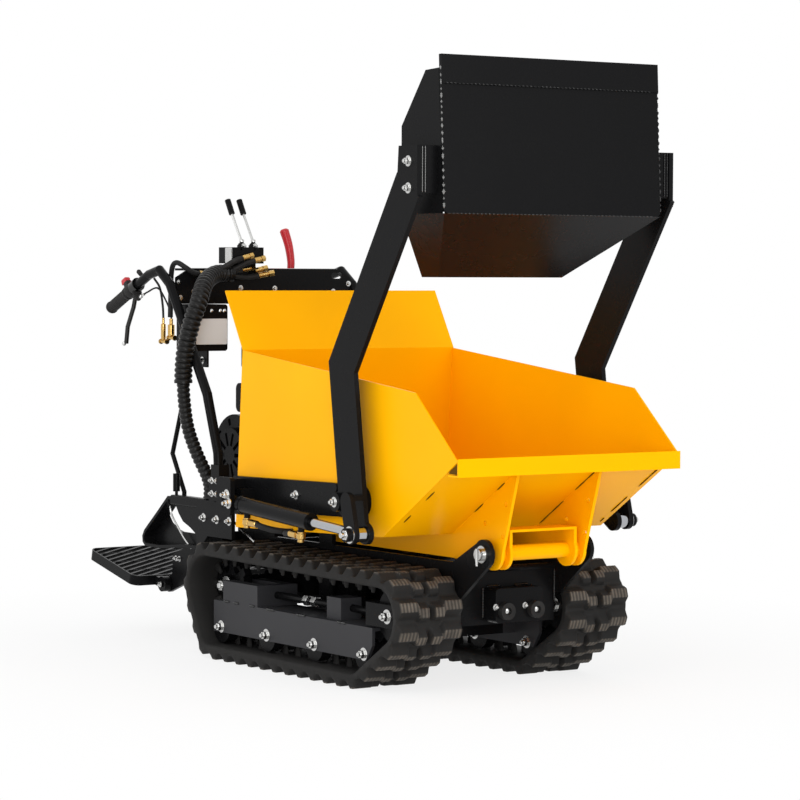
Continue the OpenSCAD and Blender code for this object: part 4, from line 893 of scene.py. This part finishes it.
# Cable from the deck down behind a wing, on the left: x, y and z in millimetres.
DECK_CABLE = ((-481, 264, 366), (-468, 264, 338), (-436, 264, 309), (-404, 264, 282), (-371, 262, 259))
# Platform: its hinge's x and z in millimetres, and the rise of its grating in degrees.
PLATFORM_HINGE = (-609, 143)
PLATFORM_RISE = 12.4


class DUMPER_OT_guards(bpy.types.Operator):
    """Wing plates inside the rear guards, cables under the deck and wires across the platform"""

    bl_idname = "dumper.guards"
    bl_label = "Guards"

    def execute(self, context):
        f = context.scene.dumper_fittings
        black, steel, grate = Skin(), Skin(), Skin()
        for side in SIDES:
            # wing behind the skirt, under a concave edge, and the web inside the hoop, under a bowed one
            for edge, inner, outer in ((WING, 276, 283), (WEB, 246, 252)):
                x, low, high = np.array(edge, float).T
                ring = [(low, inner), (high, inner), (high, outer), (low, outer)]
                rows = [np.stack([x, side * np.full_like(x, y), z], -1) for z, y in ring]
                black.grid(np.stack(rows, 1) * MM)
            steel.grid(tube(curve([mm(x, side * y, z) for x, y, z in DECK_CABLE]), 2.6 * MM, 10))
            stay = [mm(-212, side * 250, 355), mm(-145, side * 250, 325), mm(-78, side * 250, 296)]
            steel.grid(tube(stay, 3 * MM, 10))
        black.grid(slab(mm(-406, -204, 744), X, Z, 48 * MM, 44 * MM, 5 * MM, 20.0))
        bolt(steel, mm(-406, -209, 740), -Y, f.bolt)
        # cross wires of the platform's grating, square to its rise
        rise, hinge = math.radians(PLATFORM_RISE), mm(PLATFORM_HINGE[0], 0, PLATFORM_HINGE[1])
        back = np.array([-math.cos(rise), 0, math.sin(rise)])
        up = np.array([math.sin(rise), 0, math.cos(rise)])
        for along in (90, 165, 240):
            centre = hinge + along * MM * back + 12 * MM * up
            grate.grid(tube([centre - 0.276 * Y, centre, centre + 0.276 * Y], 2.2 * MM, 8))
        black.make("guard_wings", "frame_black", "frame_black")
        steel.make("deck_cables", "zinc", "zinc")
        grate.make("grating_wires", "frame_black", "frame_black", "platform_body")
        return {"FINISHED"}


def area_light(name, place, target, wide, power):
    light = bpy.data.lights.new(name, "AREA")
    light.energy = power
    light.size = wide
    obj = bpy.data.objects.new(name, light)
    obj.location = place
    obj.rotation_euler = (Vector(target) - Vector(place)).to_track_quat("-Z", "Y").to_euler()
    bpy.context.scene.collection.objects.link(obj)


def seen_ray(tree):
    """Socket that is 1 for a ray from the camera, off a gloss or through glass, and 0 for light."""
    path = tree.nodes.new("ShaderNodeLightPath")
    seen = path.outputs["Is Camera Ray"]
    for ray in ("Is Glossy Ray", "Is Transmission Ray"):
        either = tree.nodes.new("ShaderNodeMath")
        either.operation = "MAXIMUM"
        tree.links.new(seen, either.inputs[0])
        tree.links.new(path.outputs[ray], either.inputs[1])
        seen = either.outputs[0]
    return seen


def make_floor(colour):
    """Pale floor z = 0 over a grid of x and y, which glows with distance, so that it has no horizon."""
    side = np.linspace(-60, 60, 5)
    x, y = np.meshgrid(side, side, indexing="ij")
    k = np.arange(25).reshape(5, 5)
    faces = np.stack([k[:-1, :-1], k[1:, :-1], k[1:, 1:], k[:-1, 1:]], -1).reshape(-1, 4)
    mesh = bpy.data.meshes.new("floor")
    mesh.from_pydata(np.stack([x, y, 0 * x], -1).reshape(-1, 3).tolist(), [], faces.tolist())
    floor = bpy.data.objects.new("floor", mesh)
    bpy.context.scene.collection.objects.link(floor)
    m = Nodes("pale_floor")
    m.set(Roughness=0.9, Specular_IOR_Level=0.1)
    m.bsdf.inputs["Base Color"].default_value = (*colour, 1)
    glow = m.add("ShaderNodeEmission")
    glow.inputs["Strength"].default_value = 1.0
    far = m.add("ShaderNodeVectorMath", operation="LENGTH")
    m.link(m.add("ShaderNodeTexCoord").outputs["Object"], far.inputs[0])
    share = m.span(far.outputs["Value"], 0.8, 1.0, 0.8, 1.9)
    mix = m.add("ShaderNodeMixShader")
    m.link(m.math("MULTIPLY", seen_ray(m.tree), share), mix.inputs["Fac"])
    m.link(m.bsdf.outputs["BSDF"], mix.inputs[1])
    m.link(glow.outputs["Emission"], mix.inputs[2])
    m.link(mix.outputs["Shader"], m.tree.nodes["Material Output"].inputs["Surface"])
    mesh.materials.append(m.mat)


def make_room(scene, strength):
    """Even white room: full white to the camera, in metal and in glass, and dimmer as light."""
    world = bpy.data.worlds.new("studio")
    scene.world = world
    world.use_nodes = True
    tree = world.node_tree
    back = tree.nodes["Background"]
    back.inputs["Color"].default_value = (1, 1, 1, 1)
    level = tree.nodes.new("ShaderNodeMapRange")
    level.inputs["To Min"].default_value = strength
    tree.links.new(seen_ray(tree), level.inputs["Value"])
    tree.links.new(level.outputs["Result"], back.inputs["Strength"])


def make_camera(scene):
    """Camera of the photograph, from its heading, pitch, roll and focal length."""
    heading, pitch, roll = (math.radians(a) for a in (HEADING, PITCH, ROLL))
    level = math.cos(pitch)
    ahead = Vector((-math.cos(heading) * level, math.sin(heading) * level, -math.sin(pitch)))
    right = ahead.cross(Vector((0, 0, 1))).normalized()
    up = right.cross(ahead)
    across = math.cos(roll) * right + math.sin(roll) * up
    upright = -math.sin(roll) * right + math.cos(roll) * up
    camera = bpy.data.cameras.new("photo_camera")
    camera.sensor_width = 36
    camera.lens = camera.sensor_width * FOCAL_PX / PHOTO_SIDE
    camera.clip_end = 200
    obj = bpy.data.objects.new("photo_camera", camera)
    obj.matrix_world = Matrix.Translation(LENS_AT) @ Matrix((across, upright, -ahead)).transposed().to_4x4()
    scene.collection.objects.link(obj)
    scene.camera = obj


class DUMPER_OT_stage(bpy.types.Operator):
    """Pale floor, soft studio light and the photograph's camera"""

    bl_idname = "dumper.stage"
    bl_label = "Stage"

    def execute(self, context):
        scene, stage = context.scene, context.scene.dumper_stage
        scene.view_settings.view_transform = "Standard"
        make_floor(stage.floor)
        make_room(scene, stage.room)
        middle, power = (0.1, 0, 0.6), stage.key_power
        area_light("key", (3.2, -3.6, 4.4), middle, 2.6, power)
        area_light("side", (-1.5, -5.0, 2.4), middle, 2.4, power * 0.6)
        area_light("front", (5.2, 1.0, 2.2), middle, 2.2, power * 0.85)
        area_light("low", (4.2, -2.8, 0.4), (0.5, 0, 0.5), 1.8, power * 1.15)
        area_light("rim", (-4.0, 3.0, 3.5), middle, 2.4, power * 0.3)
        make_camera(scene)
        return {"FINISHED"}


class DUMPER_PT_panel(bpy.types.Panel):
    """Lists the steps that dress the machine"""

    bl_label = "Dumper"
    bl_idname = "DUMPER_PT_panel"
    bl_space_type = "VIEW_3D"
    bl_region_type = "UI"
    bl_category = "Dumper"

    def draw(self, context):
        for step in STEPS:
            self.layout.operator(step.bl_idname)


STEPS = (
    DUMPER_OT_finishes,
    DUMPER_OT_tracks,
    DUMPER_OT_running_gear,
    DUMPER_OT_chassis_fittings,
    DUMPER_OT_hinge_fittings,
    DUMPER_OT_skip_fittings,
    DUMPER_OT_loader_fittings,
    DUMPER_OT_conduit,
    DUMPER_OT_hoses,
    DUMPER_OT_controls,
    DUMPER_OT_guards,
    DUMPER_OT_stage,
)
GROUPS = {
    "dumper_colours": DumperColours,
    "dumper_tracks": DumperTracks,
    "dumper_fittings": DumperFittings,
    "dumper_stage": DumperStage,
}
CLASSES = (*GROUPS.values(), *STEPS, DUMPER_PT_panel)


def register():
    for cls in CLASSES:
        bpy.utils.register_class(cls)
    for name, group in GROUPS.items():
        setattr(bpy.types.Scene, name, PointerProperty(type=group))


def unregister():
    for name in reversed(GROUPS):
        delattr(bpy.types.Scene, name)
    for cls in reversed(CLASSES):
        bpy.utils.unregister_class(cls)


def main():
    register()
    for step in STEPS:
        group, name = step.bl_idname.split(".")
        getattr(getattr(bpy.ops, group), name)()


if __name__ == "__main__":
    main()
